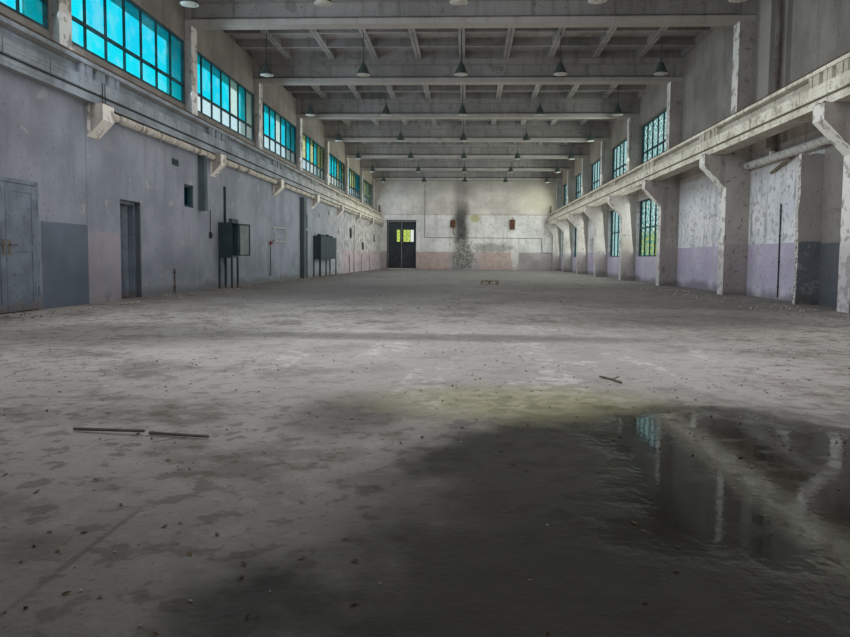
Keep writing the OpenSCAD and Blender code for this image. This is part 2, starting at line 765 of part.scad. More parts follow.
module switch_cabinet_door() {
    color("darkslategray")
        translate([cabinet_x + clear + knuckle_out, cabinet_y + cabinet_w - clear, floor_t + cabinet_door_z])
        rotate([0, 0, cabinet_open]) mirror([0, 1, 0])
        cabinet_leaf(cabinet_w - 2 * clear, cabinet_door_h - clear);
}

// A pressed sheet door with a folded rim: hinge axis on Z, leaf along +Y
module cabinet_leaf(w, h) {
    difference() {
        translate([-knuckle_out, 0, 0]) cube([door_fold, w, h]);
        translate([-knuckle_out - 1, door_rim, door_rim])
            cube([door_fold - 3, w - 2 * door_rim, h - 2 * door_rim]);
    }
    for (share = door_knuckles) translate([0, 0, share * h]) cylinder(r = knuckle_r, h = strap_l);
}

module second_cabinet() {
    color("darkslategray") {
        block([-inner_x, second_y, second_z], [second_d - inner_x, second_y + second_w, second_z + second_h]);
        for (x = [0, second_d - leg_w], y = [0, second_w / 3, second_w - leg_w])
            block([x - inner_x, second_y + y, 0], [x - inner_x + leg_w, second_y + y + leg_w, second_z]);
    }
}

// Lagged pipes under the crane beams, one length to each bay, and one on the right
module heating_pipes() {
    color("gainsboro") {
        for (k = [2:bays - 1]) along_y(line_y(k) + column_l / 2, line_y(k + 1) - column_l / 2)
            translate([-inner_x + left_pipe_d / 2, left_pipe_z]) circle(d = left_pipe_d);
        along_y(line_y(2) + column_l / 2, line_y(3) - column_l / 2)
            translate([col_x - right_pipe_d / 2, right_pipe_z]) circle(d = right_pipe_d);
        at_riser(right_pipe_z) cylinder(d = collar_d, h = collar_h);
    }
}

module at_riser(z) {
    translate([col_x - right_pipe_d / 2, down_pipe_y, floor_t + z]) children();
}

// Pipe that rises from the right lagged pipe to the roof
module down_pipe() {
    color("gray") at_riser(right_pipe_z + collar_h)
        cylinder(d = down_pipe_d, h = slab_z - right_pipe_z - collar_h);
}

// Ducts on the left wall: one that hangs below the lagged pipe, and one that stands on the floor
module wall_duct() {
    color("lightslategray") {
        block([-inner_x, duct_y - duct_w / 2, duct_z],
            [duct_d - inner_x, duct_y + duct_w / 2, left_pipe_z - left_pipe_d / 2]);
        block([-inner_x, floor_duct_y - floor_duct_w, 0], [duct_d - inner_x, floor_duct_y, floor_duct_h]);
    }
}

// Pipe that comes down the gate wall, runs across it, drops and ends at the last column on the right
module end_wall_pipe() {
    x0 = gate_hi + pipe_in;
    x1 = nose_x - pipe_out;
    y = ledge_y - pipe_r;
    color("dimgray") {
        translate([x0, y, floor_t + pipe_high_z]) cylinder(r = pipe_r, h = column_h - pipe_high_z - clear);
        translate([x0, y, floor_t + pipe_high_z]) rotate([0, 90, 0]) cylinder(r = pipe_r, h = x1 - x0);
        translate([x1, y, floor_t + pipe_low_z]) cylinder(r = pipe_r, h = pipe_high_z - pipe_low_z);
        translate([x1, y, floor_t + pipe_low_z]) rotate([0, 90, 0]) cylinder(r = pipe_r, h = shaft_x - x1);
        for (elbow = [[x0, pipe_high_z], [x1, pipe_high_z], [x1, pipe_low_z]])
            translate([elbow[0], y, floor_t + elbow[1]]) sphere(r = pipe_r);
    }
}

// A closed conical lamp with its holder, on a rod that hangs from the joint between two roof slabs
module lamp() {
    rim = 0.05 * lamp_h;
    shade = 0.72 * lamp_h;
    rotate_extrude() polygon([[0, 0], [lamp_d / 2, 0], [lamp_d / 2, rim], [0.3 * lamp_d, 0.6 * shade],
        [2 * neck_r, shade], [neck_r, shade], [neck_r, lamp_h], [rod_r, lamp_h],
        [rod_r, girder_h + lamp_drop], [0, girder_h + lamp_drop]]);
}

module lamps() {
    color("darkslategray") for (k = [0:bays - 1], i = [-lamp_sides:lamp_sides])
        translate([2 * i * slab_pitch, mid_y(k), floor_t + column_h - lamp_drop]) lamp();
}

floor_slab();
columns_left();
columns_right();
crane_beams_left();
crane_beams_right();
crane_rails();
roof_girders();
roof_slabs();
roof_covering();
left_inner_wall();
left_outer_wall();
left_upper_wall();
door_lintels();
door_jambs();
outer_doors();
right_outer_wall();
right_door_lintel();
right_upper_wall();
cross_wall();
far_wall();
gate_lintel();
far_upper_wall();
near_wall();
clerestory_frames();
clerestory_glass();
lower_window_frames();
lower_window_glass();
double_door_frame();
double_door_near_leaf();
double_door_far_leaf();
side_door_frame();
side_door_leaf();
gate_frame();
gate_left_leaf();
gate_right_leaf();
gate_left_glass();
gate_right_glass();
switch_cabinet();
switch_cabinet_door();
second_cabinet();
heating_pipes();
down_pipe();
wall_duct();
end_wall_pipe();
lamps();
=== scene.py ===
# Looks of the half-scale crane hall: camera, lights, finishes and the fine pieces around the fixed frame
import math
import random

import bmesh
import bpy
from mathutils import Matrix, Vector, noise


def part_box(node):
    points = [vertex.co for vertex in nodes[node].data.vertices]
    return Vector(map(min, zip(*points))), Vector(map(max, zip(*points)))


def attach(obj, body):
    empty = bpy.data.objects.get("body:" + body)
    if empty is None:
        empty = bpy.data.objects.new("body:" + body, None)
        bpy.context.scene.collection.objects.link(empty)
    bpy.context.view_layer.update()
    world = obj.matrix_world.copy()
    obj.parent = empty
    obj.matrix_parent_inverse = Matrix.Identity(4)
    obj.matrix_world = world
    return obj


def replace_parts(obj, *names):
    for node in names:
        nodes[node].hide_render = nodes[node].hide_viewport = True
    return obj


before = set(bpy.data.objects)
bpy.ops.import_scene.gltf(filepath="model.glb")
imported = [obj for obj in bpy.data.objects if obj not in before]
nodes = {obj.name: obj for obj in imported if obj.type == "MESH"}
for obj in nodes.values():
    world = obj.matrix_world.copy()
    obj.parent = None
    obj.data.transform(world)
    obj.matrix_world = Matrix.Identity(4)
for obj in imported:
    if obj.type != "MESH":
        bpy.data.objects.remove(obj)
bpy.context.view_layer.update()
hall = {"bays": 9, "columnLength": 0.2, "scale": 0.5}

columnsLow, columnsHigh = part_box("columns_right")
beamLow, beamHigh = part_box("crane_beams_right")
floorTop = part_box("floor_slab")[1].z
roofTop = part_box("roof_covering")[1].z
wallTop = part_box("near_wall")[1].z
columnX = columnsHigh.x                   # outer face of the columns
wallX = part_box("right_outer_wall")[1].x   # outer face of the side walls
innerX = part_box("left_inner_wall")[1].x   # hall face of the inner wall on the left
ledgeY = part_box("far_wall")[0].y          # hall face of the lower gate wall
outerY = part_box("far_wall")[1].y          # outer face of the end walls
lineZero = columnsLow.y + hall["columnLength"] / 2
bay = (columnsHigh.y - columnsLow.y - hall["columnLength"]) / hall["bays"]


def lineY(k):
    return lineZero + k * bay


# Places read off the photo are in real metres: X from the nave's middle, Y from the first columns, Z from the floor
def realX(x):
    return x * hall["scale"]


def realY(y):
    return lineZero + y * hall["scale"]


def realZ(z):
    return floorTop + z * hall["scale"]


def spot(x, y, z):
    return Vector((realX(x), realY(y), realZ(z)))


def shade(code):  # a screen colour such as "8a8580" as linear light
    parts = [int(code[i:i + 2], 16) / 255 for i in (0, 2, 4)]
    return [c / 12.92 if c < 0.04 else ((c + 0.055) / 1.055) ** 2.4 for c in parts] + [1.0]


# Camera, where the photographer stood inside the near end wall
view = {"x": 0.262, "y": -0.565, "height": 0.908, "yaw": 0.048, "pitch": 0.063, "roll": 0.009,
        "lens": 28.77, "shiftX": -0.0108, "shiftY": -0.0207}


def addCamera():
    data = bpy.data.cameras.new("hallCamera")
    camera = bpy.data.objects.new("hallCamera", data)
    bpy.context.scene.collection.objects.link(camera)
    data.lens = view["lens"]
    data.sensor_width = 36
    data.shift_x = view["shiftX"]
    data.shift_y = view["shiftY"]
    data.clip_start = 0.01
    ahead = Vector((-math.sin(view["yaw"]), math.cos(view["yaw"]), 0))
    side = Vector((math.cos(view["yaw"]), math.sin(view["yaw"]), 0))
    look = math.cos(view["pitch"]) * ahead - math.sin(view["pitch"]) * Vector((0, 0, 1))
    up = side.cross(look)
    right = math.cos(view["roll"]) * side + math.sin(view["roll"]) * up
    above = math.cos(view["roll"]) * up - math.sin(view["roll"]) * side
    turn = Matrix((right, above, -look)).transposed().to_4x4()
    camera.matrix_world = Matrix.Translation(spot(view["x"], view["y"], view["height"])) @ turn
    bpy.context.scene.camera = camera


# Lights: a pale sky outside, and soft panels inside that stand for the windows and for the light in the hall
lights = {
    "sky": "e6eaec", "skyLevel": 0.65, "sunLevel": 1.5, "sunSoftness": 0.6, "sunTurn": (0.75, 0.25, -0.6),
    "panels": [  # middle in real metres, direction, length and width in metres, watts, colour
        ("ceilingFill", (0, 27, 6.2), (0, 0, -1), (25, 5.6), 330, "fff9f2"),
        ("floorFill", (0, 27, 0.5), (0, 0, 1), (25, 5.6), 260, "fff6ec"),
        ("leftClerestory", (-7.0, 29, 5.9), (1, 0, -0.45), (24, 0.7), 260, "d4ecff"),
        ("rightClerestory", (7.0, 40, 5.9), (-1, 0, -0.45), (13, 0.7), 230, "f4fff4"),
        ("rightWindows", (7.45, 40, 2.3), (-1, 0, -0.1), (14, 1.1), 150, "f6fff8"),
        ("nearEnd", (1.4, 2.0, 6.0), (0.2, 1, -0.35), (5, 1.2), 62, "fbfaff"),
        ("nearWindows", (-5.6, 10, 5.6), (1, 0.62, -0.35), (4, 0.7), 80, "eef6ff"),
    ],
}


def addLights():
    world = bpy.data.worlds.new("paleSky")
    bpy.context.scene.world = world
    world.use_nodes = True
    tree = world.node_tree
    tree.nodes.clear()
    out = tree.nodes.new("ShaderNodeOutputWorld")
    path = tree.nodes.new("ShaderNodeLightPath")
    soft = tree.nodes.new("ShaderNodeBackground")
    soft.inputs["Color"].default_value = shade(lights["sky"])
    soft.inputs["Strength"].default_value = lights["skyLevel"]
    seen = tree.nodes.new("ShaderNodeBackground")
    seen.inputs["Color"].default_value = (1, 1, 1, 1)
    mix = tree.nodes.new("ShaderNodeMixShader")
    fac = path.outputs["Is Camera Ray"]
    for name in ("Is Glossy Ray", "Is Transmission Ray"):
        either = tree.nodes.new("ShaderNodeMath")
        either.operation = "MAXIMUM"
        tree.links.new(fac, either.inputs[0])
        tree.links.new(path.outputs[name], either.inputs[1])
        fac = either.outputs[0]
    tree.links.new(fac, mix.inputs[0])
    tree.links.new(soft.outputs[0], mix.inputs[1])
    tree.links.new(seen.outputs[0], mix.inputs[2])
    tree.links.new(mix.outputs[0], out.inputs["Surface"])
    sun = bpy.data.lights.new("softSun", "SUN")
    sun.energy = lights["sunLevel"]
    sun.angle = lights["sunSoftness"]
    lamp = bpy.data.objects.new("softSun", sun)
    lamp.rotation_euler = lights["sunTurn"]
    bpy.context.scene.collection.objects.link(lamp)
    for name, middle, way, size, watts, colour in lights["panels"]:
        data = bpy.data.lights.new(name, "AREA")
        data.shape = "RECTANGLE"
        data.energy = watts
        data.color = shade(colour)[:3]
        data.size, data.size_y = size
        panel = bpy.data.objects.new(name, data)
        bpy.context.scene.collection.objects.link(panel)
        back = -Vector(way).normalized()
        along = Vector((0, 1, 0)) if abs(way[1]) < 0.5 else Vector((1, 0, 0))
        along = (along - back * along.dot(back)).normalized()
        turn = Matrix((along, back.cross(along), back)).transposed().to_4x4()
        panel.matrix_world = Matrix.Translation(spot(*middle)) @ turn
        panel.visible_camera = False
        panel.visible_glossy = False


addCamera()
addLights()
print("camera and lights placed")


class Finish:  # one material with its node tree, and the few node patterns that every finish here is made of
    def __init__(self, name, roughness=0.88):
        self.material = bpy.data.materials.new(name)
        self.material.use_nodes = True
        self.tree = self.material.node_tree
        self.shader = self.tree.nodes["Principled BSDF"]
        self.shader.inputs["Roughness"].default_value = roughness
        self.place = self.tree.nodes.new("ShaderNodeTexCoord").outputs["Object"]
        split = self.tree.nodes.new("ShaderNodeSeparateXYZ")
        self.tree.links.new(self.place, split.inputs[0])
        self.x, self.y, self.z = split.outputs
        normal = self.tree.nodes.new("ShaderNodeSeparateXYZ")
        geometry = self.tree.nodes.new("ShaderNodeNewGeometry")
        self.tree.links.new(geometry.outputs["Normal"], normal.inputs[0])
        self.nx, self.ny, self.nz = normal.outputs
        self.kept = {}

    def feed(self, socket, value):
        if isinstance(value, bpy.types.NodeSocket):
            self.tree.links.new(value, socket)
        else:
            socket.default_value = value

    def calc(self, operation, a, b=0.0):
        node = self.tree.nodes.new("ShaderNodeMath")
        node.operation = operation
        self.feed(node.inputs[0], a)
        self.feed(node.inputs[1], b)
        return node.outputs[0]

    def both(self, a, b):
        return self.calc("MULTIPLY", a, b)

    def either(self, a, b):
        return self.calc("MAXIMUM", a, b)

    def without(self, a):
        return self.calc("SUBTRACT", 1.0, a)

    def ramp(self, value, low, high):  # 0 below low, 1 above high, smooth between
        node = self.tree.nodes.new("ShaderNodeMapRange")
        node.interpolation_type = "SMOOTHSTEP"
        self.feed(node.inputs["Value"], value)
        node.inputs["From Min"].default_value = low
        node.inputs["From Max"].default_value = high
        return node.outputs[0]

    def below(self, value, limit, soft=0.004):
        return self.without(self.ramp(value, limit - soft, limit + soft))

    def between(self, value, low, high, soft=0.01):
        return self.both(self.ramp(value, low - soft, low + soft), self.below(value, high, soft))

    def noise(self, scale, detail=3.0, stretch=None):
        key = (scale, detail, stretch)
        if key not in self.kept:
            node = self.tree.nodes.new("ShaderNodeTexNoise")
            self.feed(node.inputs["Vector"], self.place)
            if stretch:
                mapping = self.tree.nodes.new("ShaderNodeMapping")
                self.feed(mapping.inputs["Vector"], self.place)
                mapping.inputs["Scale"].default_value = stretch
                self.feed(node.inputs["Vector"], mapping.outputs[0])
            node.inputs["Scale"].default_value = scale
            node.inputs["Detail"].default_value = detail
            node.inputs["Roughness"].default_value = 0.6
            self.kept[key] = node.outputs[0]
        return self.kept[key]

    def cells(self, scale, width):  # 1 on the edges between crooked cells
        cell = self.tree.nodes.new("ShaderNodeTexVoronoi")
        cell.feature = "DISTANCE_TO_EDGE"
        self.feed(cell.inputs["Vector"], self.place)
        cell.inputs["Scale"].default_value = scale
        return self.without(self.ramp(cell.outputs["Distance"], 0.0, width))

    def tint(self, fac, a, b):  # from colour a to colour b
        node = self.tree.nodes.new("ShaderNodeMix")
        node.data_type = "RGBA"
        self.feed(node.inputs[0], fac)
        self.feed(node.inputs[6], shade(a) if isinstance(a, str) else a)
        self.feed(node.inputs[7], shade(b) if isinstance(b, str) else b)
        return node.outputs[2]

    def over(self, colour, where, strength, tone):  # a tone laid over the colour where a pattern says
        return self.tint(self.both(where, strength), colour, tone)

    def oval(self, axes, middle, reach, wobble, soft):  # 1 inside an oval whose edge wanders by the pattern given
        first, second = (getattr(self, a) for a in axes)
        u = self.calc("DIVIDE", self.calc("SUBTRACT", first, middle[0]), reach[0])
        v = self.calc("DIVIDE", self.calc("SUBTRACT", second, middle[1]), reach[1])
        far = self.calc("SQRT", self.calc("ADD", self.both(u, u), self.both(v, v)))
        return self.without(self.ramp(self.calc("ADD", far, wobble), 1 - soft, 1 + soft))

    def wander(self, pattern, size):  # a pattern made to run about zero
        return self.both(self.calc("SUBTRACT", pattern, 0.5), size)

    def colour(self, value):
        self.feed(self.shader.inputs["Base Color"], value)

    def rough(self, value):
        self.feed(self.shader.inputs["Roughness"], value)

    def bump(self, height, distance):
        node = self.tree.nodes.new("ShaderNodeBump")
        node.inputs["Distance"].default_value = distance
        self.feed(node.inputs["Height"], height)
        self.tree.links.new(node.outputs[0], self.shader.inputs["Normal"])


def put(finish, *names):
    for name in names:
        mesh = nodes[name].data
        mesh.materials.clear()
        mesh.materials.append(finish.material)


# Old limewash: clouds, drips, flakes down to the plaster, specks and, on some walls, a painted dado
def limewash(f, look):
    cloud = f.noise(look.get("cloudScale", 1.5), 4)
    drips = f.noise(8, 3, (1, 1, 0.1))
    field = f.noise(look.get("flakeScale", 8), 5)
    fine = f.noise(34, 2)
    flakes = f.ramp(field, look["flakes"], look["flakes"] + 0.03)
    colour = f.tint(f.ramp(cloud, 0.36, 0.64), look["shadow"], look["lime"])
    colour = f.over(colour, f.ramp(drips, 0.5, 0.7), look.get("drips", 0.4), look["dirt"])
    if "dado" in look:
        low = f.below(f.calc("ADD", f.z, f.wander(field, 0.02)), look["dadoTop"], 0.003)
        dado = f.tint(f.ramp(cloud, 0.35, 0.6), look["dadoWorn"], look["dado"])
        dado = f.over(dado, f.ramp(field, 0.54, 0.6), 0.5, look["lime"])
        colour = f.over(colour, low, look.get("dadoStrength", 0.9), dado)
    colour = f.over(colour, flakes, look.get("flakeStrength", 0.8), look["plaster"])
    colour = f.over(colour, f.ramp(fine, 0.64, 0.7), 0.7, look.get("spots", "4a4540"))
    colour = f.over(colour, f.ramp(f.without(fine), 0.62, 0.72), 0.35, look["lime"])
    foot = f.below(f.calc("SUBTRACT", f.z, f.both(cloud, 0.4)), floorTop - 0.12, 0.06)
    colour = f.over(colour, foot, 0.6, "54504a")
    return colour, f.calc("SUBTRACT", f.both(fine, 0.3), flakes)


# Outside of the building: precast panels with joints, a darker plinth and a metal cap on the parapet
facade = {"panel": "aaa69d", "panelDark": "8f8b81", "joint": "605c55", "plinth": "7b776f", "cap": "8e9293",
          "course": 0.6, "joints": 0.008, "plinthTop": 0.24, "capHeight": 0.04, "skin": 0.012, "reveal": "dcdad4",
          "revealX": -3.76, "revealHeights": (2.55, 3.43)}


def withFacade(f, inside, height):  # the hall side's look, and the facade from the walls' outer skin on
    cloud = f.noise(1.5, 4)
    streak = f.noise(8, 3, (1, 1, 0.1))
    fine = f.noise(34, 2)
    colour = f.tint(f.ramp(cloud, 0.35, 0.66), facade["panelDark"], facade["panel"])
    colour = f.over(colour, f.ramp(streak, 0.5, 0.7), 0.4, "716d64")
    colour = f.over(colour, f.ramp(fine, 0.55, 0.7), 0.4, "c6c2b8")

    def line(value, pitch):
        share = f.calc("ABSOLUTE", f.calc("SUBTRACT", f.calc("FRACT", f.calc("DIVIDE", value, pitch)), 0.5))
        return f.ramp(share, 0.5 - facade["joints"] / pitch, 0.5)

    onSide = f.ramp(f.calc("ABSOLUTE", f.nx), 0.5, 0.6)
    upright = f.either(f.both(onSide, line(f.calc("SUBTRACT", f.y, lineZero), bay)),
                       f.both(f.without(onSide), line(f.x, bay / 2)))
    joint = f.both(f.either(line(f.z, facade["course"]), upright), f.below(f.calc("ABSOLUTE", f.nz), 0.5))
    colour = f.tint(joint, colour, facade["joint"])
    splash = f.below(f.calc("SUBTRACT", f.z, f.both(cloud, 0.8)), 0.1, 0.25)  # rain splashed up from the ground
    colour = f.over(colour, splash, 0.5, "62604f")
    colour = f.over(colour, f.below(f.z, facade["plinthTop"], 0.002), 0.7, facade["plinth"])
    cap = f.ramp(f.z, wallTop - facade["capHeight"] - 0.001, wallTop - facade["capHeight"])
    colour = f.tint(cap, colour, f.tint(f.ramp(streak, 0.4, 0.7), facade["cap"], "6f7374"))
    skin = facade["skin"]
    outside = f.either(f.ramp(f.calc("ABSOLUTE", f.x), wallX - 2 * skin, wallX - skin),
                       f.ramp(f.calc("ABSOLUTE", f.y), outerY - 2 * skin, outerY - skin))
    outside = f.either(outside, f.ramp(f.z, roofTop - 0.02, roofTop - 0.01))
    # Painted light: the reveals behind the left glass are pale so that the panes read as daylit.
    low, high = facade["revealHeights"]
    reveal = f.both(f.below(f.x, facade["revealX"], 0.005), f.between(f.z, low, high, 0.003))
    inside = f.tint(reveal, inside, f.tint(f.ramp(cloud, 0.3, 0.7), facade["reveal"], "c4c2bb"))
    f.colour(f.tint(outside, inside, colour))
    f.bump(f.calc("ADD", height, f.both(outside, f.calc("SUBTRACT", f.both(cap, 1.5), joint))), 0.004)


# The left wall's blue-grey lime is partly painted light: its cool tint and darkness stand for the cyan window light
# and the shade on this wall.
leftLook = {"lime": "89909c", "shadow": "777e8a", "plaster": "a6a9ad", "dirt": "666b75", "flakes": 0.62,
            "flakeScale": 5.0, "drips": 0.35, "flakeStrength": 0.4, "spots": "4a4f53"}
leftMarks = {"darkDado": (10.35, 11.74, 1.46), "lilac": (11.74, 12.9, 1.35), "farLilac": (36.7, 54.9, 1.35),
             "crack": 11.73, "worn": (26, 46)}


def paintLeftWall():
    f = Finish("leftPlaster")
    colour, height = limewash(f, leftLook)
    field = f.noise(5.0, 5)
    cloud = f.noise(1.5, 4)
    start, end = (realY(y) for y in leftMarks["worn"])
    mottled = f.tint(f.ramp(field, 0.46, 0.56), "c3c0ba", "8f8983")
    colour = f.over(colour, f.ramp(f.y, start, end), 0.75, mottled)
    for name, low, high in (("lilac", "8b8590", "988f97"), ("farLilac", "9a858d", "b3a2aa")):
        start, end, top = leftMarks[name]
        zone = f.both(f.between(f.y, realY(start), realY(end), 0.004), f.below(f.z, realZ(top)))
        keep = f.without(f.both(f.ramp(field, 0.5, 0.6), 0.6))
        colour = f.over(colour, zone, f.both(keep, 0.75), f.tint(f.ramp(cloud, 0.35, 0.65), low, high))
    start, end, top = leftMarks["darkDado"]
    along = f.calc("ADD", f.y, f.wander(field, 0.02))
    zone = f.both(f.between(along, realY(start), realY(end), 0.003), f.below(f.z, realZ(top)))
    colour = f.over(colour, zone, 0.92, f.tint(f.ramp(cloud, 0.3, 0.7), "515c69", "606b7a"))
    line = f.calc("ABSOLUTE", f.calc("SUBTRACT", along, realY(leftMarks["crack"])))
    crack = f.both(f.below(line, 0.0035, 0.002), f.ramp(f.z, realZ(1.45), realZ(1.5)))
    colour = f.over(colour, crack, 0.7, "3f4244")
    # Painted shade: the jambs and lintels inside the door passages, behind the wall's hall face, are darkened.
    f.colour(f.over(colour, f.below(f.x, innerX - 0.012), 0.8, "3a4146"))
    f.bump(height, 0.0022)
    put(f, "left_inner_wall", "door_lintels", "door_jambs")


rightLook = {"lime": "dbdbdd", "shadow": "c3c6cb", "plaster": "8d8a84", "dirt": "93928e", "flakes": 0.575,
             "flakeScale": 13.0, "drips": 0.6, "flakeStrength": 0.6, "dado": "a69cb4", "dadoWorn": "bbb3c3",
             "dadoTop": floorTop + 0.665, "spots": "6a5560"}
upperLook = {"lime": "908b84", "shadow": "7c7771", "plaster": "9b968e", "dirt": "67625c", "flakes": 0.62,
             "flakeScale": 4.0, "drips": 0.4, "flakeStrength": 0.4}
wallMarks = {"shadedRecess": (0.1, 1.05), "soot": (1.3, 0.8, 0.13, 0.34), "beamShadowBand": (1.35, 1.7),
             "damp": [(16.35, 16.95, "4a4842"), (16.95, 17.6, "a09b93"), (15.8, 16.05, "504d47")]}


def paintSideWalls():
    f = Finish("rightPanel")
    colour, height = limewash(f, rightLook)
    # Painted shade on the stretch of outer wall before the cross wall: grey-brown above, with a real dark dado below.
    start, end = wallMarks["shadedRecess"]
    shadedRecess = f.between(f.y, lineY(2) + start, lineY(2) + end, 0.004)
    colour = f.over(colour, shadedRecess, 0.92, f.tint(f.below(f.z, floorTop + 0.645), "78726c", "4c5155"))
    y, z, reachY, reachZ = wallMarks["soot"]
    soot = f.oval("yz", (lineY(2) + y, floorTop + z), (reachY, reachZ), f.wander(f.noise(13.0, 5), 0.7), 0.3)
    soot = f.both(soot, f.ramp(f.z, floorTop + 0.66, floorTop + 0.675))
    colour = f.over(colour, soot, 0.95, "1f1d20")
    # Painted shadow of the crane beam across the top of the wall.
    low, high = wallMarks["beamShadowBand"]
    colour = f.over(colour, f.ramp(f.z, floorTop + low, floorTop + high), 0.7, "8b857d")
    withFacade(f, colour, height)
    put(f, "right_outer_wall", "right_door_lintel", "left_outer_wall")
    f = Finish("upperPanel")
    colour, height = limewash(f, upperLook)
    for start, end, tone in wallMarks["damp"]:
        zone = f.both(f.between(f.y, realY(start), realY(end), 0.02), f.ramp(f.x, 0, 1))
        colour = f.over(colour, zone, 0.65, tone)
    colour = f.over(colour, f.ramp(f.y, lineY(5), lineY(9)), 0.5, "c8bda6")
    withFacade(f, colour, height)
    put(f, "left_upper_wall", "right_upper_wall")
    f = Finish("crossPlaster")
    # The cross wall's darker grey lime is painted shade on its face towards the camera; its dark dado is real paint.
    look = dict(rightLook, flakes=0.7, lime="989491", shadow="8a8683", dado="5a6068", dadoWorn="636972",
                dadoStrength=1.0, plaster="8f8a83", drips=0.3)
    colour, height = limewash(f, look)
    broken = f.ramp(f.calc("ABSOLUTE", f.nx), 0.3, 0.7)
    f.colour(f.over(colour, broken, 0.85, f.tint(f.ramp(f.noise(34, 2), 0.4, 0.6), "7d746b", "d0cdc7")))
    f.bump(height, 0.003)
    put(f, "cross_wall")


farLook = {"lime": "c6c3c1", "shadow": "b0adab", "plaster": "9b958e", "dirt": "98918b", "flakes": 0.6,
           "flakeScale": 7.0, "drips": 0.45, "flakeStrength": 0.55}
farMarks = {  # places in real metres: soot column, bared rubble, dado, moss, a painted patch of warm sunlight
    "ledge": 4.4, "soot": (-0.28, 0.85), "rubble": (-0.05, 0.95, 0.85, 1.25), "dadoTop": 1.42,
    "salmon": [(-4.4, -1.2), (1.25, 3.9)], "moss": (0.86, 4.1, 0.42, 0.3), "warm": (6.8, 5.6, 2.2, 1.0),
    "stain": (2.2, 1.75, 1.8, 0.35), "splash": (4.05, 1.5, 0.3, 1.5),
}


def paintEndWalls():
    f = Finish("endPlaster")
    colour, height = limewash(f, farLook)
    field = f.noise(7.0, 5)
    cloud = f.noise(1.5, 4)
    isFar = f.ramp(f.y, 0.0, 1.0)

    def mark(key, wobble, soft):
        x, z, reachX, reachZ = farMarks[key]
        middle = spot(x, 0, z)
        reach = (reachX * hall["scale"], reachZ * hall["scale"])
        return f.both(f.oval("xz", (middle.x, middle.z), reach, wobble, soft), isFar)

    ledge = realZ(farMarks["ledge"])
    upper = f.ramp(f.z, ledge - 0.004, ledge + 0.004)
    colour = f.over(colour, upper, 0.55, f.tint(f.ramp(cloud, 0.35, 0.65), "a29a90", "c2b6ab"))
    colour = f.over(colour, f.ramp(f.z, realZ(5.8), realZ(7.2)), 0.7, "8b857e")
    # Painted shadow: a dark line under the ledge.
    edge = f.calc("ABSOLUTE", f.calc("SUBTRACT", f.z, ledge - 0.008))
    colour = f.over(colour, f.below(edge, 0.008, 0.003), 0.75, "6a6358")
    low = f.both(f.below(f.calc("ADD", f.z, f.wander(field, 0.1)), realZ(farMarks["dadoTop"]), 0.02), isFar)
    dado = f.tint(f.ramp(cloud, 0.35, 0.65), "857a7b", "9a8e91")
    for start, end in farMarks["salmon"]:
        patch = f.between(f.calc("ADD", f.x, f.wander(field, 0.3)), realX(start), realX(end), 0.1)
        dado = f.over(dado, patch, 0.8, f.tint(f.ramp(field, 0.4, 0.6), "947c74", "a98f86"))
    colour = f.over(colour, low, 0.85, dado)
    colour = f.over(colour, mark("splash", f.wander(field, 2.0), 0.3), 0.5, "d4d1cd")
    colour = f.over(colour, mark("stain", f.wander(field, 2.2), 0.4), 0.55, "5f5a4c")
    middle, reach = farMarks["soot"]
    across = f.calc("ABSOLUTE", f.calc("SUBTRACT", f.calc("ADD", f.x, f.wander(cloud, 0.3)), realX(middle)))
    soot = f.both(f.without(f.ramp(across, 0.1, reach * hall["scale"])), isFar)
    fade = f.without(f.both(f.ramp(f.z, realZ(4.2), realZ(5.6)), 0.55))
    soot = f.both(f.both(soot, fade), f.without(f.both(f.below(f.z, realZ(2.1), 0.15), 0.5)))
    colour = f.over(colour, soot, 0.95, f.tint(f.ramp(field, 0.4, 0.6), "343230", "4c4946"))
    bare = mark("rubble", f.wander(field, 2.4), 0.12)
    rubble = f.tint(f.ramp(f.noise(16, 3), 0.4, 0.6), "5f5c59", "98948f")
    colour = f.over(colour, bare, 0.9, f.over(rubble, f.cells(11, 0.14), 0.7, "46423f"))
    colour = f.over(colour, mark("moss", f.wander(f.noise(34, 2), 1.5), 0.5), 0.7, "8a8540")
    # Painted light: a warm patch of sunlight high on the far wall.
    colour = f.over(colour, mark("warm", f.wander(cloud, 1.0), 0.7), 0.5, "d8cfb4")
    withFacade(f, colour, f.calc("SUBTRACT", height, bare))
    put(f, "far_wall", "gate_lintel", "far_upper_wall", "near_wall")


columnLook = {"lime": "a09b96", "shadow": "8c8681", "plaster": "736d67", "dirt": "625c57", "flakes": 0.6,
              "flakeScale": 9.0, "drips": 0.4, "dado": "877d85", "dadoWorn": "8f8788", "dadoTop": floorTop + 0.67,
              "dadoStrength": 0.5, "spots": "453f39"}
corbelMark = {"x": -3.35, "heights": (1.38, 1.86), "foot": 0.62}  # the left corbels, and the foot's greyer white


def paintColumns():
    f = Finish("columnLime")
    colour, height = limewash(f, columnLook)
    field = f.noise(9.0, 5)
    edge = f.ramp(f.calc("ABSOLUTE", f.nx), 0.3, 0.6)  # faces towards the nave keep their thick white limewash and are painted lighter as the lit side; faces towards the ends keep the darker grey-brown as painted shade
    low, high = corbelMark["heights"]
    corbel = f.both(f.below(f.x, corbelMark["x"], 0.01), f.between(f.z, floorTop + low, floorTop + high, 0.01))
    white = f.over("d6d4ce", f.ramp(field, 0.52, 0.57), 0.8, "8d8780")
    white = f.over(white, f.below(f.z, floorTop + corbelMark["foot"], 0.06), 0.5, "a99fa6")
    f.colour(f.over(colour, f.either(edge, corbel), 0.9, white))
    f.bump(height, 0.003)
    put(f, "columns_left", "columns_right")


beamLook = {"cream": "d8d5c8", "dark": "bab6a7", "worn": "8f8a7b", "rust": "6d5340", "board": 0.032,
            "shadedRecess": (0.14, 0.045), "shade": ("5a6a77", "74869a")}


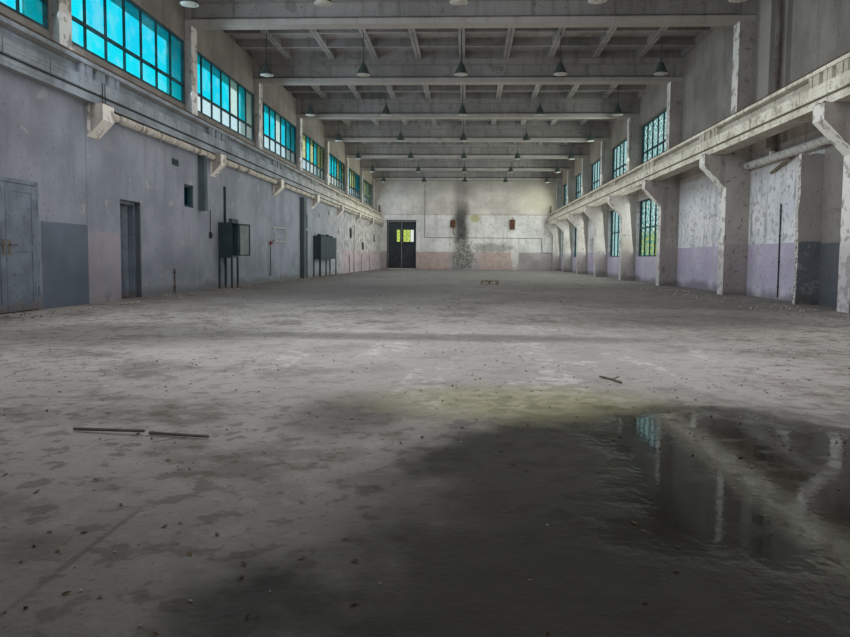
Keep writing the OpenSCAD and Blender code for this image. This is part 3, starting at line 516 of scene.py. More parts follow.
def paintBeams():
    f = Finish("beamLime")
    cloud = f.noise(2.4, 4)
    field = f.noise(12, 5)
    fine = f.noise(40, 2)
    colour = f.tint(f.ramp(cloud, 0.35, 0.62), beamLook["dark"], beamLook["cream"])
    colour = f.over(colour, f.ramp(field, 0.55, 0.59), 0.65, beamLook["worn"])
    boards = f.calc("ABSOLUTE", f.calc("SUBTRACT", f.calc("FRACT", f.calc("DIVIDE", f.z, beamLook["board"])), 0.5))
    seam = f.both(f.ramp(boards, 0.44, 0.5), f.ramp(f.calc("ABSOLUTE", f.nx), 0.5, 0.8))
    colour = f.over(colour, seam, 0.35, "6b6455")
    colour = f.over(colour, f.ramp(fine, 0.6, 0.68), 0.6, "615a48")
    # Painted shade: the band under the top flange is darkened.
    lower, upper = beamLook["shadedRecess"]
    shadedRecess = f.between(f.z, beamHigh.z - lower, beamHigh.z - upper, 0.004)
    colour = f.over(colour, shadedRecess, 0.4, "7d776c")
    rust = f.ramp(f.noise(9, 3, (1, 1, 0.25)), 0.62, 0.68)
    colour = f.over(colour, rust, 0.5, beamLook["rust"])
    left = f.both(f.below(f.x, 0.0, 0.5), f.without(f.ramp(f.y, -3.0, 9.0)))
    colour = f.over(colour, left, 0.8, f.tint(f.ramp(cloud, 0.35, 0.65), *beamLook["shade"]))
    # Painted shade: faces looking down are darkened.
    undersideShade = f.ramp(f.calc("MULTIPLY", f.nz, -1.0), 0.5, 0.8)
    f.colour(f.over(colour, undersideShade, 0.55, "5f5a4f"))
    f.bump(f.calc("SUBTRACT", f.both(fine, 0.3), seam), 0.003)
    put(f, "crane_beams_left", "crane_beams_right")


roofLook = {"lime": "918e8b", "shadow": "7b7875", "plaster": "625d58", "dirt": "524d48", "flakes": 0.62,
            "flakeScale": 3.0, "drips": 0.45, "cloudScale": 0.8, "flakeStrength": 0.5}
girderMark = {"flange": 0.07, "front": (2.2, 2.6)}  # the bottom flange's height, and where the painted shade on the front girders fades


def paintRoofInside():
    f = Finish("girderLime")
    colour, height = limewash(f, roofLook)
    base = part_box("roof_girders")[0].z
    colour = f.over(colour, f.below(f.z, base + girderMark["flange"], 0.012), 0.45, "b0aba3")
    # Painted shade: the girders of the first bays are darkened towards the near end.
    front = f.without(f.ramp(f.y, *(lineY(k) for k in girderMark["front"])))
    colour = f.over(colour, front, 0.4, "4f4c48")
    # Painted shade: faces looking down are darkened.
    undersideShade = f.ramp(f.calc("MULTIPLY", f.nz, -1.0), 0.5, 0.8)
    f.colour(f.over(colour, undersideShade, 0.4, "5b5650"))
    f.bump(height, 0.003)
    put(f, "roof_girders")
    f = Finish("slabLime")
    colour, height = limewash(f, dict(roofLook, lime="898785", shadow="72706e", cloudScale=0.6))
    leak = f.ramp(f.noise(1.1, 5), 0.58, 0.68)
    f.colour(f.over(colour, leak, 0.55, f.tint(f.ramp(f.noise(3.0, 5), 0.4, 0.6), "4f4a3c", "3f4a3e")))
    f.bump(height, 0.003)
    put(f, "roof_slabs")


def paintFelt():
    f = Finish("roofFelt", 0.92)
    grit = f.noise(90, 2)
    colour = f.tint(f.ramp(f.noise(1.1, 5), 0.35, 0.65), "3f4041", "5b5953")
    colour = f.over(colour, f.ramp(grit, 0.5, 0.72), 0.45, "75736f")
    f.colour(f.over(colour, f.ramp(f.noise(3, 4), 0.58, 0.68), 0.5, "50543c"))
    f.bump(grit, 0.002)
    put(f, "roof_covering")
    return f


floorLook = {  # ovals as middle and reach in real metres
    "dust": "8f8a85", "pale": "aaa5a0", "grime": "625c55", "chalk": "d0cccb", "wet": "24241f",
    "damp": [(1.3, 1.15, 1.5, 2.6), (3.3, 0.7, 1.7, 2.7)], "moss": (0.62, 3.75, 0.85, 0.5),
    "water": (1.75, 2.3, 0.95, 1.3), "bright": (0.4, 6.0, 3.0, 2.4),
    "dark": [(-3.4, 18.2, 2.3, 4.2), (-3.6, 7.2, 1.6, 1.1), (3.6, 10.0, 1.6, 1.3), (-0.4, 3.3, 0.35, 0.5),
             (-0.1, 7.2, 2.4, 0.35)],
    "trail": (-0.9, 1.45, 0.012, 0.34), "near": (-0.1, 0.85), "beyond": (1.2, 2.4),  # near and beyond in bays
}


def paintFloor():
    f = Finish("dustyFloor")
    cloud = f.noise(0.55, 5)
    patch = f.noise(2.6, 5)
    crumbs = f.noise(14, 5)
    grit = f.noise(60, 3)

    def area(place, wobble, soft):
        x, y, reachX, reachY = place
        return f.oval("xy", spot(x, y, 0)[:2], (reachX * hall["scale"], reachY * hall["scale"]), wobble, soft)

    colour = f.tint(f.ramp(cloud, 0.35, 0.65), floorLook["dust"], floorLook["pale"])
    colour = f.over(colour, f.ramp(patch, 0.48, 0.64), 0.6, floorLook["grime"])
    colour = f.over(colour, f.ramp(crumbs, 0.53, 0.61), 0.55, "5a5047")
    colour = f.over(colour, f.ramp(f.without(crumbs), 0.56, 0.62), 0.4, "b7b3ae")
    bright = area(floorLook["bright"], f.wander(patch, 1.4), 0.5)
    colour = f.over(colour, bright, 0.55, "b4b0ae")
    chalk = f.both(f.either(f.both(bright, f.ramp(crumbs, 0.48, 0.56)), f.ramp(crumbs, 0.66, 0.7)),
                   f.ramp(f.noise(4, 4, (1, 0.35, 1)), 0.52, 0.62))
    colour = f.over(colour, chalk, 0.65, floorLook["chalk"])
    for place in floorLook["dark"]:
        colour = f.over(colour, area(place, f.wander(patch, 1.6), 0.5), 0.55, "4a4743")
    colour = f.over(colour, f.ramp(grit, 0.6, 0.7), 0.5, "4d463f")
    beyond = f.ramp(f.y, *(lineY(k) for k in floorLook["beyond"]))
    colour = f.over(colour, beyond, 0.72, "4f4d4b")
    # Painted shade: the floor near the end wall is darkened.
    near = f.without(f.ramp(f.y, *(lineY(k) for k in floorLook["near"])))
    colour = f.over(colour, near, 0.8, "4a4744")
    colour = f.over(colour, area(floorLook["trail"], f.wander(crumbs, 3.0), 0.6), 0.5, "4a443f")
    damp = f.either(*(area(place, f.wander(patch, 1.0), 0.2) for place in floorLook["damp"]))
    colour = f.over(colour, damp, 0.88, f.tint(f.ramp(patch, 0.4, 0.66), "242320", "34312b"))
    moss = f.both(area(floorLook["moss"], f.wander(crumbs, 1.8), 0.6), 0.6)
    colour = f.tint(moss, colour, f.tint(f.ramp(crumbs, 0.4, 0.6), "8a8963", "b3b08a"))
    water = f.both(area(floorLook["water"], f.wander(patch, 1.3), 0.2), damp)
    f.colour(f.over(colour, water, 0.8, floorLook["wet"]))
    wet = f.both(water, f.calc("SUBTRACT", 0.85, f.both(f.ramp(crumbs, 0.45, 0.68), 0.2)))
    f.rough(f.calc("SUBTRACT", f.calc("SUBTRACT", 0.93, f.both(damp, 0.3)), f.both(wet, 0.72)))
    f.bump(f.both(f.calc("ADD", crumbs, f.both(grit, 0.6)), f.without(f.both(water, 0.97))), 0.005)
    put(f, "floor_slab")


paneLook = {"lights": 7, "side": 0.12, "roughness": 0.12, "ior": 1.12, "lowRow": 0.26, "upperFrom": (2.0, 2.1),
            "foliageTop": 1.05, "leafyEdge": -4.35}


def paintGlass():
    pitch = (bay - 2 * paneLook["side"]) / paneLook["lights"]
    f = Finish("paneGlass", paneLook["roughness"])
    alongBays = f.calc("DIVIDE", f.calc("SUBTRACT", f.y, lineZero), bay)
    bayIndex = f.calc("FLOOR", alongBays)
    inBay = f.calc("SUBTRACT", f.both(f.calc("FRACT", alongBays), bay), paneLook["side"])
    light = f.calc("FLOOR", f.calc("DIVIDE", inBay, pitch))
    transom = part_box("clerestory_frames")[0].z + paneLook["lowRow"]
    right = f.ramp(f.x, -0.5, 0.5)
    lowRow = f.both(f.below(f.z, transom, 0.001), f.ramp(f.z, *paneLook["upperFrom"]))
    number = f.tree.nodes.new("ShaderNodeCombineXYZ")
    f.feed(number.inputs[0], bayIndex)
    f.feed(number.inputs[1], light)
    f.feed(number.inputs[2], f.calc("ADD", lowRow, f.both(right, 3.0)))
    chance = f.tree.nodes.new("ShaderNodeTexWhiteNoise")
    chance.noise_dimensions = "3D"
    f.feed(chance.inputs["Vector"], number.outputs[0])
    draw = chance.outputs["Value"]
    mottle = f.noise(16, 4)
    colour = f.tint(draw, "0cecff", "18d8fa")
    further = f.ramp(bayIndex, 2.4, 2.6)
    pale = f.both(f.ramp(f.calc("ADD", draw, f.both(bayIndex, 0.09)), 1.08, 1.1), further)
    colour = f.tint(pale, colour, "cdf0ea")
    warm = f.both(f.ramp(bayIndex, 4.4, 4.6), f.ramp(draw, 0.55, 0.56))
    colour = f.over(colour, warm, 0.85, f.tint(f.ramp(mottle, 0.45, 0.6), "c9d84e", "eef0d2"))
    colour = f.over(colour, f.both(lowRow, further), 0.8, "dfeff2")
    leaves = f.tint(f.ramp(mottle, 0.47, 0.55), "4a9c9a", "e2f6f2")
    paler = f.tint(f.ramp(f.calc("ADD", bayIndex, draw), 4.9, 6.0), leaves, "bdeef0")
    colour = f.tint(right, colour, paler)
    foliage = f.both(f.between(f.y, lineY(4), lineY(5)), f.below(f.z, floorTop + paneLook["foliageTop"], 0.1))
    foliage = f.both(foliage, right)
    colour = f.over(colour, foliage, f.ramp(mottle, 0.5, 0.54), "c3c93c")
    dust = f.both(f.ramp(f.noise(5, 4), 0.45, 0.7), 0.2)
    f.colour(f.tint(dust, colour, "ccecf0"))
    f.shader.inputs["Transmission Weight"].default_value = 1.0
    f.shader.inputs["IOR"].default_value = paneLook["ior"]
    put(f, "clerestory_glass", "lower_window_glass")
    f = Finish("gateGlass", 0.2)
    leafy = f.below(f.x, realX(paneLook["leafyEdge"]), 0.01)
    mottle = f.ramp(f.noise(24, 4), 0.44, 0.56)
    f.colour(f.tint(leafy, "dfe6de", f.tint(mottle, "86a93c", "d2e07a")))
    f.shader.inputs["Transmission Weight"].default_value = 1.0
    f.shader.inputs["IOR"].default_value = paneLook["ior"]
    put(f, "gate_left_glass", "gate_right_glass")


def paintedMetal(name, paint, dark, chips, rust="5f4736", roughness=0.5, chipLevel=0.62):
    f = Finish(name, roughness)
    cloud = f.noise(5, 3)
    field = f.noise(26, 4)
    chip = f.ramp(field, chipLevel, chipLevel + 0.03)
    streak = f.ramp(f.noise(24, 2, (1, 1, 0.1)), 0.5, 0.72)
    colour = f.tint(f.ramp(cloud, 0.35, 0.65), dark, paint)
    colour = f.over(colour, streak, 0.35, dark)
    colour = f.over(colour, chip, chips, rust)
    foot = f.below(f.calc("SUBTRACT", f.z, f.both(cloud, 0.16)), floorTop - 0.01, 0.05)
    f.colour(f.over(colour, foot, 0.5, rust))
    f.rough(f.calc("ADD", roughness, f.both(chip, 0.35)))
    f.bump(f.calc("SUBTRACT", f.both(cloud, 0.3), chip), 0.0012)
    return f


paintTable = {  # finish: its two colours and share of chips, then other values, and the nodes that wear it
    "window": (("35545a", "22383d", 0.6), {}, ["clerestory_frames", "lower_window_frames"]),
    "door": (("748190", "626c79", 0.5), {}, ["double_door_frame", "double_door_near_leaf", "double_door_far_leaf",
                                             "side_door_frame", "side_door_leaf"]),
    # the fixed outer doors: dark steel paint, kept dark as painted shade at the back of the doorways
    "shadedSteelDoor": (("3d4a4f", "2b3539", 0.6), {}, ["outer_doors"]),
    "gate": (("2f383d", "23292e", 0.6), {}, ["gate_frame", "gate_left_leaf", "gate_right_leaf"]),
    "cabinet": (("2f4046", "25333a", 0.5), {"roughness": 0.45}, ["switch_cabinet", "switch_cabinet_door",
                                                                 "second_cabinet"]),
    "pipe": (("77736d", "5d5852", 0.7), {"chipLevel": 0.58}, ["down_pipe", "end_wall_pipe"]),
    "duct": (("49565c", "3d494f", 0.4), {}, ["wall_duct"]),
    "rail": (("5b5049", "463c36", 0.6), {"chipLevel": 0.5, "roughness": 0.6}, ["crane_rails"]),
    "lining": (("75807f", "67716f", 0.4), {}, []),
    "white": (("c4c4c0", "a5a5a0", 0.5), {}, []),
    "rusty": (("5a3c2e", "42291f", 0.8), {"chipLevel": 0.5, "roughness": 0.75}, []),
    "black": (("2a2c2d", "202223", 0.4), {}, []),
    "red": (("8a2f28", "6a221e", 0.4), {}, []),
}


def plainFinish(name, low, high, scale, stretch=None, roughness=0.9, dent=0.002):  # grain between two colours
    f = Finish(name, roughness)
    grain = f.noise(scale, 4, stretch)
    f.colour(f.tint(f.ramp(grain, 0.36, 0.64), low, high))
    f.bump(grain, dent)
    return f


def paintSmallThings():
    made = {}
    for name, (tones, more, worn) in paintTable.items():
        made[name] = paintedMetal(name + "Paint", *tones, **more)
        put(made[name], *worn)
    f = Finish("lampEnamel", 0.35)
    cloud = f.noise(30, 3)
    inside = f.ramp(f.calc("MULTIPLY", f.nz, -1.0), 0.6, 0.8)
    colour = f.tint(f.ramp(cloud, 0.4, 0.65), "46504d", "333b39")
    f.colour(f.tint(inside, colour, f.tint(f.ramp(cloud, 0.45, 0.65), "bcbdb6", "8d897d")))
    f.bump(cloud, 0.001)
    put(f, "lamps")
    made["lamp"] = f
    f = Finish("pipeLagging")
    wrap = f.noise(14, 4, (1, 3.5, 1))
    torn = f.ramp(f.noise(5, 5), 0.58, 0.62)
    colour = f.tint(f.ramp(wrap, 0.38, 0.62), "94908a", "bdb9b1")
    f.colour(f.over(colour, torn, 0.75, "676058"))
    f.bump(wrap, 0.006)
    put(f, "heating_pipes")
    made["lagging"] = f
    made["wood"] = plainFinish("oldWood", "4a4138", "837768", 30, (1, 0.15, 1))
    made["leaf"] = plainFinish("dryLeaves", "3a3029", "6e5c48", 40)
    made["crumb"] = plainFinish("plasterCrumbs", "6f6a65", "aeaaa5", 60)
    made["bulb"] = plainFinish("lampGlass", "84847d", "a5a49c", 50, roughness=0.15, dent=0.0005)
    return made


paintLeftWall()
paintSideWalls()
paintEndWalls()
paintColumns()
paintBeams()
paintRoofInside()
felt = paintFelt()
paintFloor()
paintGlass()
paints = paintSmallThings()
print("finishes made")


# Plain meshes: boxes with eased edges, rods, and pieces made of both
def newPiece(name, bm, finish, body="hall", smooth=False):
    mesh = bpy.data.meshes.new(name)
    bmesh.ops.recalc_face_normals(bm, faces=bm.faces)
    for face in bm.faces:
        face.smooth = smooth or face.smooth
    bm.to_mesh(mesh)
    bm.free()
    mesh.materials.append(finish.material)
    piece = bpy.data.objects.new(name, mesh)
    bpy.context.scene.collection.objects.link(piece)
    if body:
        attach(piece, body)
    return piece


def addBox(bm, low, high, ease=0.0, turn=None):
    low, high = Vector(low), Vector(high)
    made = bmesh.ops.create_cube(bm, size=1.0)
    verts = made["verts"]
    bmesh.ops.scale(bm, vec=high - low, verts=verts)
    bmesh.ops.translate(bm, vec=(low + high) / 2, verts=verts)
    if ease:
        edges = list({e for v in verts for e in v.link_edges})
        eased = bmesh.ops.bevel(bm, geom=edges, offset=ease, segments=2, profile=0.5, affect="EDGES")
        verts = list({v for face in eased["faces"] for v in face.verts})
    if turn:
        bmesh.ops.transform(bm, matrix=turn, verts=verts)


def addRod(bm, start, end, radius, sides=10, tip=None):
    start, end = Vector(start), Vector(end)
    along = end - start
    place = Matrix.Translation((start + end) / 2) @ along.to_track_quat("Z", "Y").to_matrix().to_4x4()
    bmesh.ops.create_cone(bm, cap_ends=True, segments=sides, radius1=radius, radius2=radius if tip is None else tip,
                          depth=along.length, matrix=place)


def addPipe(bm, points, radius, sides=10):  # rods through the points, with a round knee at each bend
    for start, end in zip(points, points[1:]):
        addRod(bm, start, end, radius, sides)
    for point in points[1:-1]:
        bmesh.ops.create_uvsphere(bm, u_segments=sides, v_segments=6, radius=radius * 1.15,
                                  matrix=Matrix.Translation(Vector(point)))


def addRing(bm, place, radius, thick, sides=24, around=6):  # a ring about the Z axis of the place given
    rows = []
    for i in range(sides):
        turn = 2 * math.pi * i / sides
        row = []
        for j in range(around):
            tilt = 2 * math.pi * j / around
            reach = radius + thick * math.cos(tilt)
            point = Vector((reach * math.cos(turn), reach * math.sin(turn), thick * math.sin(tilt)))
            row.append(bm.verts.new(place @ point))
        rows.append(row)
    for i in range(sides):
        after = rows[(i + 1) % sides]
        for j in range(around):
            k = (j + 1) % around
            bm.faces.new((rows[i][j], after[j], after[k], rows[i][k])).smooth = True


# Geometry Nodes: one tree repeats a piece's own mesh on a grid, and one strews it in clusters over a patch of ground
def startTree(name, sockets):
    tree = bpy.data.node_groups.new(name, "GeometryNodeTree")
    for label, kind in sockets:
        tree.interface.new_socket(name=label, in_out="INPUT", socket_type="NodeSocket" + kind)
    tree.interface.new_socket(name="Geometry", in_out="OUTPUT", socket_type="NodeSocketGeometry")
    return tree, tree.nodes.new("NodeGroupInput"), tree.nodes.new("NodeGroupOutput")


def endTree(tree, given, result, copies):  # real copies with the finish that the modifier names
    realize = tree.nodes.new("GeometryNodeRealizeInstances")
    dress = tree.nodes.new("GeometryNodeSetMaterial")
    tree.links.new(copies, realize.inputs[0])
    tree.links.new(realize.outputs[0], dress.inputs["Geometry"])
    tree.links.new(given.outputs["Finish"], dress.inputs["Material"])
    tree.links.new(dress.outputs[0], result.inputs[0])
    return tree


def repeatTree():
    tree, given, result = startTree("repeatPiece", (
        ("Geometry", "Geometry"), ("Rows", "Int"), ("Row Step", "Vector"), ("Columns", "Int"),
        ("Column Step", "Vector"), ("Finish", "Material")))
    rows = tree.nodes.new("GeometryNodeMeshLine")
    columns = tree.nodes.new("GeometryNodeMeshLine")
    spread = tree.nodes.new("GeometryNodeInstanceOnPoints")
    flatten = tree.nodes.new("GeometryNodeRealizeInstances")
    place = tree.nodes.new("GeometryNodeInstanceOnPoints")
    link = tree.links.new
    link(given.outputs["Rows"], rows.inputs["Count"])
    link(given.outputs["Row Step"], rows.inputs["Offset"])
    link(given.outputs["Columns"], columns.inputs["Count"])
    link(given.outputs["Column Step"], columns.inputs["Offset"])
    link(rows.outputs[0], spread.inputs["Points"])
    link(columns.outputs[0], spread.inputs["Instance"])
    link(spread.outputs[0], flatten.inputs[0])
    link(flatten.outputs[0], place.inputs["Points"])
    link(given.outputs["Geometry"], place.inputs["Instance"])
    return endTree(tree, given, result, place.outputs[0])


def strewTree():
    tree, given, result = startTree("strewPiece", (
        ("Geometry", "Geometry"), ("Middle", "Vector"), ("Width", "Float"), ("Length", "Float"),
        ("Density", "Float"), ("Seed", "Int"), ("Smallest", "Float"), ("Largest", "Float"), ("Finish", "Material")))
    ground = tree.nodes.new("GeometryNodeMeshGrid")
    shift = tree.nodes.new("GeometryNodeTransform")
    cluster = tree.nodes.new("ShaderNodeTexNoise")
    crowd = tree.nodes.new("ShaderNodeMapRange")
    share = tree.nodes.new("ShaderNodeMath")
    points = tree.nodes.new("GeometryNodeDistributePointsOnFaces")
    turn = tree.nodes.new("FunctionNodeRandomValue")
    size = tree.nodes.new("FunctionNodeRandomValue")
    place = tree.nodes.new("GeometryNodeInstanceOnPoints")
    ground.inputs["Vertices X"].default_value = 24
    ground.inputs["Vertices Y"].default_value = 96
    cluster.inputs["Scale"].default_value = 1.9
    cluster.inputs["Detail"].default_value = 5
    crowd.inputs["From Min"].default_value = 0.42
    crowd.inputs["From Max"].default_value = 0.66
    share.operation = "MULTIPLY"
    turn.data_type = "FLOAT_VECTOR"
    turn.inputs["Min"].default_value = (-0.35, -0.35, 0)
    turn.inputs["Max"].default_value = (0.35, 0.35, 2 * math.pi)
    link = tree.links.new
    link(given.outputs["Width"], ground.inputs["Size X"])
    link(given.outputs["Length"], ground.inputs["Size Y"])
    link(ground.outputs[0], shift.inputs["Geometry"])
    link(given.outputs["Middle"], shift.inputs["Translation"])
    link(cluster.outputs[0], crowd.inputs["Value"])
    link(crowd.outputs[0], share.inputs[0])
    link(given.outputs["Density"], share.inputs[1])
    link(shift.outputs[0], points.inputs["Mesh"])
    link(share.outputs[0], points.inputs["Density"])
    link(given.outputs["Seed"], points.inputs["Seed"])
    link(given.outputs["Seed"], turn.inputs["Seed"])
    link(given.outputs["Seed"], size.inputs["Seed"])
    link(given.outputs["Smallest"], size.inputs[2])
    link(given.outputs["Largest"], size.inputs[3])
    link(points.outputs["Points"], place.inputs["Points"])
    link(given.outputs["Geometry"], place.inputs["Instance"])
    link(turn.outputs[0], place.inputs["Rotation"])
    link(size.outputs[1], place.inputs["Scale"])
    return endTree(tree, given, result, place.outputs[0])


def grown(name, bm, tree, finish, values):  # the tree's result kept as one plain mesh
    piece = newPiece(name, bm, finish, body=None)
    modifier = piece.modifiers.new("nodes", "NODES")
    modifier.node_group = tree
    values = dict(values, Finish=finish.material)
    for item in tree.interface.items_tree:
        if item.item_type == "SOCKET" and item.in_out == "INPUT" and item.name in values:
            modifier[item.identifier] = values[item.name]
    graph = bpy.context.evaluated_depsgraph_get()
    made = bpy.data.meshes.new_from_object(piece.evaluated_get(graph))
    piece.modifiers.remove(modifier)
    old = piece.data
    piece.data = made
    bpy.data.meshes.remove(old)
    made.name = name
    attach(piece, "hall")


repeater = repeatTree()
strewer = strewTree()


def repeated(name, bm, finish, rows, rowStep, columns=1, columnStep=(0.0, 0.0, 0.0)):
    grown(name, bm, repeater, finish, {"Rows": rows, "Row Step": rowStep, "Columns": columns,
                                             "Column Step": columnStep})


# Window bars: a flat bar with a thin web behind it between two lights, in each window of a row
bars = {"lights": 7, "side": 0.12, "flange": 0.014, "web": 0.006, "depth": 0.03, "end": 0.02}
windowRows = [  # piece, frames, side of the hall, first bay and number of windows
    ("clerestoryBarsLeft0", "clerestory_frames", -1, 0, 9), ("clerestoryBarsRight4", "clerestory_frames", 1, 4, 5),
    ("lowerBarsRight4", "lower_window_frames", 1, 4, 2), ("lowerBarsRight7", "lower_window_frames", 1, 7, 2),
]


def windowBars():
    pitch = (bay - 2 * bars["side"]) / bars["lights"]
    for piece, name, side, first, count in windowRows:
        low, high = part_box(name)
        face = low.x if side < 0 else high.x  # the frames' outer face, where the glass lies
        back = face - side * bars["depth"]
        start = lineY(first) + bars["side"] + pitch
        bm = bmesh.new()
        for end, half in ((back + side * 0.008, bars["flange"] / 2), (face, bars["web"] / 2)):
            addBox(bm, (min(back, end), start - half, low.z + bars["end"]),
                   (max(back, end), start + half, high.z - bars["end"]), 0.001)
        repeated(piece, bm, paints["window"], count, (0, bay, 0), bars["lights"] - 1, (0, pitch, 0))


# Roof: felt laps across, and folded sheet against the parapets
laps = {"width": 0.06, "height": 0.005, "step": 0.5, "margin": 0.3}
upstands = {"length": 0.96, "step": 1.0, "height": 0.085, "thick": 0.004, "foot": 0.05, "margin": 0.1}


def roofPieces():
    low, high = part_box("roof_covering")
    bm = bmesh.new()
    start = low.y + laps["margin"]
    addBox(bm, (low.x + 0.06, start, high.z - 0.001),
           (high.x - 0.06, start + laps["width"], high.z + laps["height"]), 0.002)
    count = int((high.y - low.y - 2 * laps["margin"]) / laps["step"]) + 1
    repeated("roofLaps", bm, felt, count, (0, laps["step"], 0))
    margin, length, thick = (upstands[key] for key in ("margin", "length", "thick"))
    profile = ((thick, upstands["height"]), (upstands["foot"], thick))
    bm = bmesh.new()
    for x, way in ((low.x, 1), (high.x, -1)):
        for out, top in profile:
            addBox(bm, (min(x, x + way * out), low.y + margin, high.z),
                   (max(x, x + way * out), low.y + margin + length, high.z + top), 0.001)
    count = int((high.y - low.y - 2 * margin) / upstands["step"])
    repeated("sideUpstands", bm, paints["pipe"], count, (0, upstands["step"], 0))
    bm = bmesh.new()
    for y, way in ((low.y, 1), (high.y, -1)):
        for out, top in profile:
            addBox(bm, (low.x + margin, min(y, y + way * out), high.z),
                   (low.x + margin + length, max(y, y + way * out), high.z + top), 0.001)
    step = (high.x - low.x - 2 * margin - length) / 6
    repeated("endUpstands", bm, paints["pipe"], 7, (step, 0, 0))


# Rail clips: a bent plate with its bolt on both sides of each rail
clips = {"step": 0.375, "length": 0.05, "width": 0.022, "height": 0.01, "bolt": 0.006, "reach": 0.033}


def railClips():
    top = beamHigh.z
    for side in (-1, 1):
        middle = side * (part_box("crane_rails")[1].x - 0.033)
        bm = bmesh.new()
        y = lineY(0) + 0.2
        for way in (-1, 1):
            x = middle + way * clips["reach"]
            addBox(bm, (x - clips["width"] / 2, y, top - 0.001),
                   (x + clips["width"] / 2, y + clips["length"], top + clips["height"]), 0.002)
            bolt = Vector((x + way * 0.003, y + clips["length"] / 2, top + clips["height"] - 0.001))
            addRod(bm, bolt, bolt + Vector((0, 0, 0.012)), clips["bolt"], 6)
        count = int((bay * hall["bays"] - 0.4) / clips["step"])
        repeated("railClips" + ("Left" if side < 0 else "Right"), bm, paints["rail"], count,
                 (0, clips["step"], 0))


# Lamps: a rolled rim and a shallow lens under each shade
lampFit = {"radius": 0.1, "rim": 0.0035, "lens": 0.088, "sag": 0.02, "spread": 1.532}


def lampPieces():
    middle = Vector((-2 * lampFit["spread"], lineY(0.5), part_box("lamps")[0].z))
    bm = bmesh.new()
    addRing(bm, Matrix.Translation(middle + Vector((0, 0, 0.002))), lampFit["radius"], lampFit["rim"])
    step = (lampFit["spread"], 0, 0)
    repeated("lampRims", bm, paints["lamp"], hall["bays"], (0, bay, 0), 5, step)
    bm = bmesh.new()
    flat = Matrix.Translation(middle) @ Matrix.Diagonal((1, 1, lampFit["sag"] / lampFit["lens"], 1))
    bmesh.ops.create_uvsphere(bm, u_segments=18, v_segments=10, radius=lampFit["lens"], matrix=flat)
    for face in bm.faces:
        face.smooth = True
    repeated("lampLenses", bm, paints["bulb"], hall["bays"], (0, bay, 0), 5, step)


# Lagged pipes: bandage wound on in uneven turns, held by wire bands, in place of the smooth pipes
lagging = {"left": (-3.335, 1.87, 0.045), "right": (3.775, 1.765, 0.055), "sides": 18, "step": 0.03, "dent": 0.13,
           "bandStep": 0.45, "collar": (0.047, 0.073)}


def addLagging(bm, x, z, radius, start, end):
    rings = int((end - start) / lagging["step"])
    rows = []
    for i in range(rings + 1):
        y = start + (end - start) * i / rings
        row = []
        for j in range(lagging["sides"]):
            turn = 2 * math.pi * j / lagging["sides"]
            side = Vector((math.cos(turn), 0, math.sin(turn)))
            dent = noise.noise(side * 1.4 + Vector((x, y * 3.1, 0))) * 0.5 + 0.5
            wound = 0.5 + 0.5 * math.sin(y * 70 + turn)
            reach = radius * (1 - lagging["dent"] * dent - 0.05 * wound)
            row.append(bm.verts.new((x + reach * side.x, y, z + reach * side.z)))
        rows.append(row)
    for row, after in zip(rows, rows[1:]):
        for j in range(lagging["sides"]):
            k = (j + 1) % lagging["sides"]
            bm.faces.new((row[j], row[k], after[k], after[j])).smooth = True
    bm.faces.new(rows[0])
    bm.faces.new(rows[-1])


def laggedPipes():
    half = hall["columnLength"] / 2
    bm = bmesh.new()
    x, z, radius = lagging["left"]
    for k in range(2, hall["bays"]):
        addLagging(bm, x, z, radius, lineY(k) + half, lineY(k + 1) - half)
    x, z, radius = lagging["right"]
    addLagging(bm, x, z, radius, lineY(2) + half, lineY(3) - half)
    riserLow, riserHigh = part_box("down_pipe")
    foot = (riserLow + riserHigh) / 2
    addRod(bm, (foot.x, foot.y, z), (foot.x, foot.y, z + lagging["collar"][1]), lagging["collar"][0], 20)
    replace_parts(newPiece("pipeLagging", bm, paints["lagging"]), "heating_pipes")
    x, z, radius = lagging["left"]
    bm = bmesh.new()
    for y in (0.25, 0.27):
        place = Matrix.Translation((x, lineY(2) + half + y, z)) @ Matrix.Rotation(math.pi / 2, 4, "X")
        addRing(bm, place, radius - 0.002, 0.0014, 18, 5)
    repeated("laggingBands", bm, paints["black"], 7, (0, bay, 0), 6, (0, lagging["bandStep"], 0))


windowBars()
roofPieces()
railClips()
lampPieces()
laggedPipes()
print("repeated pieces made")


# Left wall, with its places in real metres: a vent with slanted slats
ventFit = {"place": (15.39, 15.72, 3.07, 3.22), "slats": 4, "pitch": 0.016, "slant": 0.6}


def wallVent():
    start, end, bottom, top = ventFit["place"]
    low, high = spot(0, start, bottom), spot(0, end, top)
    bm = bmesh.new()
    addBox(bm, (innerX, low.y, low.z), (innerX + 0.012, high.y, high.z), 0.002)
    half = (high.y - low.y) / 2 - 0.01
    for i in range(ventFit["slats"]):
        slat = Matrix.Translation((innerX + 0.016, (low.y + high.y) / 2, low.z + 0.012 + i * ventFit["pitch"]))
        slat = slat @ Matrix.Rotation(ventFit["slant"], 4, "Y")
        addBox(bm, (-0.008, -half, -0.002), (0.008, half, 0.002), 0.0, slat)
    newPiece("wallVent", bm, paints["duct"])


# A turning switch with the conduit that feeds it
switchFit = {"place": (17.72, 1.48), "out": 0.03, "knob": 0.012, "conduitTop": 0.34}


def wallSwitch():
    place = spot(0, *switchFit["place"])
    out = innerX + switchFit["out"]
    pipe = innerX + 0.012
    bm = bmesh.new()
    addBox(bm, (innerX, place.y - 0.022, place.z - 0.045), (out, place.y + 0.022, place.z + 0.04), 0.005)
    addRod(bm, (out, place.y, place.z), (out + 0.012, place.y, place.z), switchFit["knob"], 12)
    addRod(bm, (pipe, place.y, place.z + 0.04), (pipe, place.y, place.z + switchFit["conduitTop"]), 0.005, 8)
    newPiece("wallSwitch", bm, paints["black"])


# An empty bracket of bent pipe on four stubs
bracketFit = {"place": (23.63, 25.22, 1.47, 1.97), "out": 0.055, "pipe": 0.008}


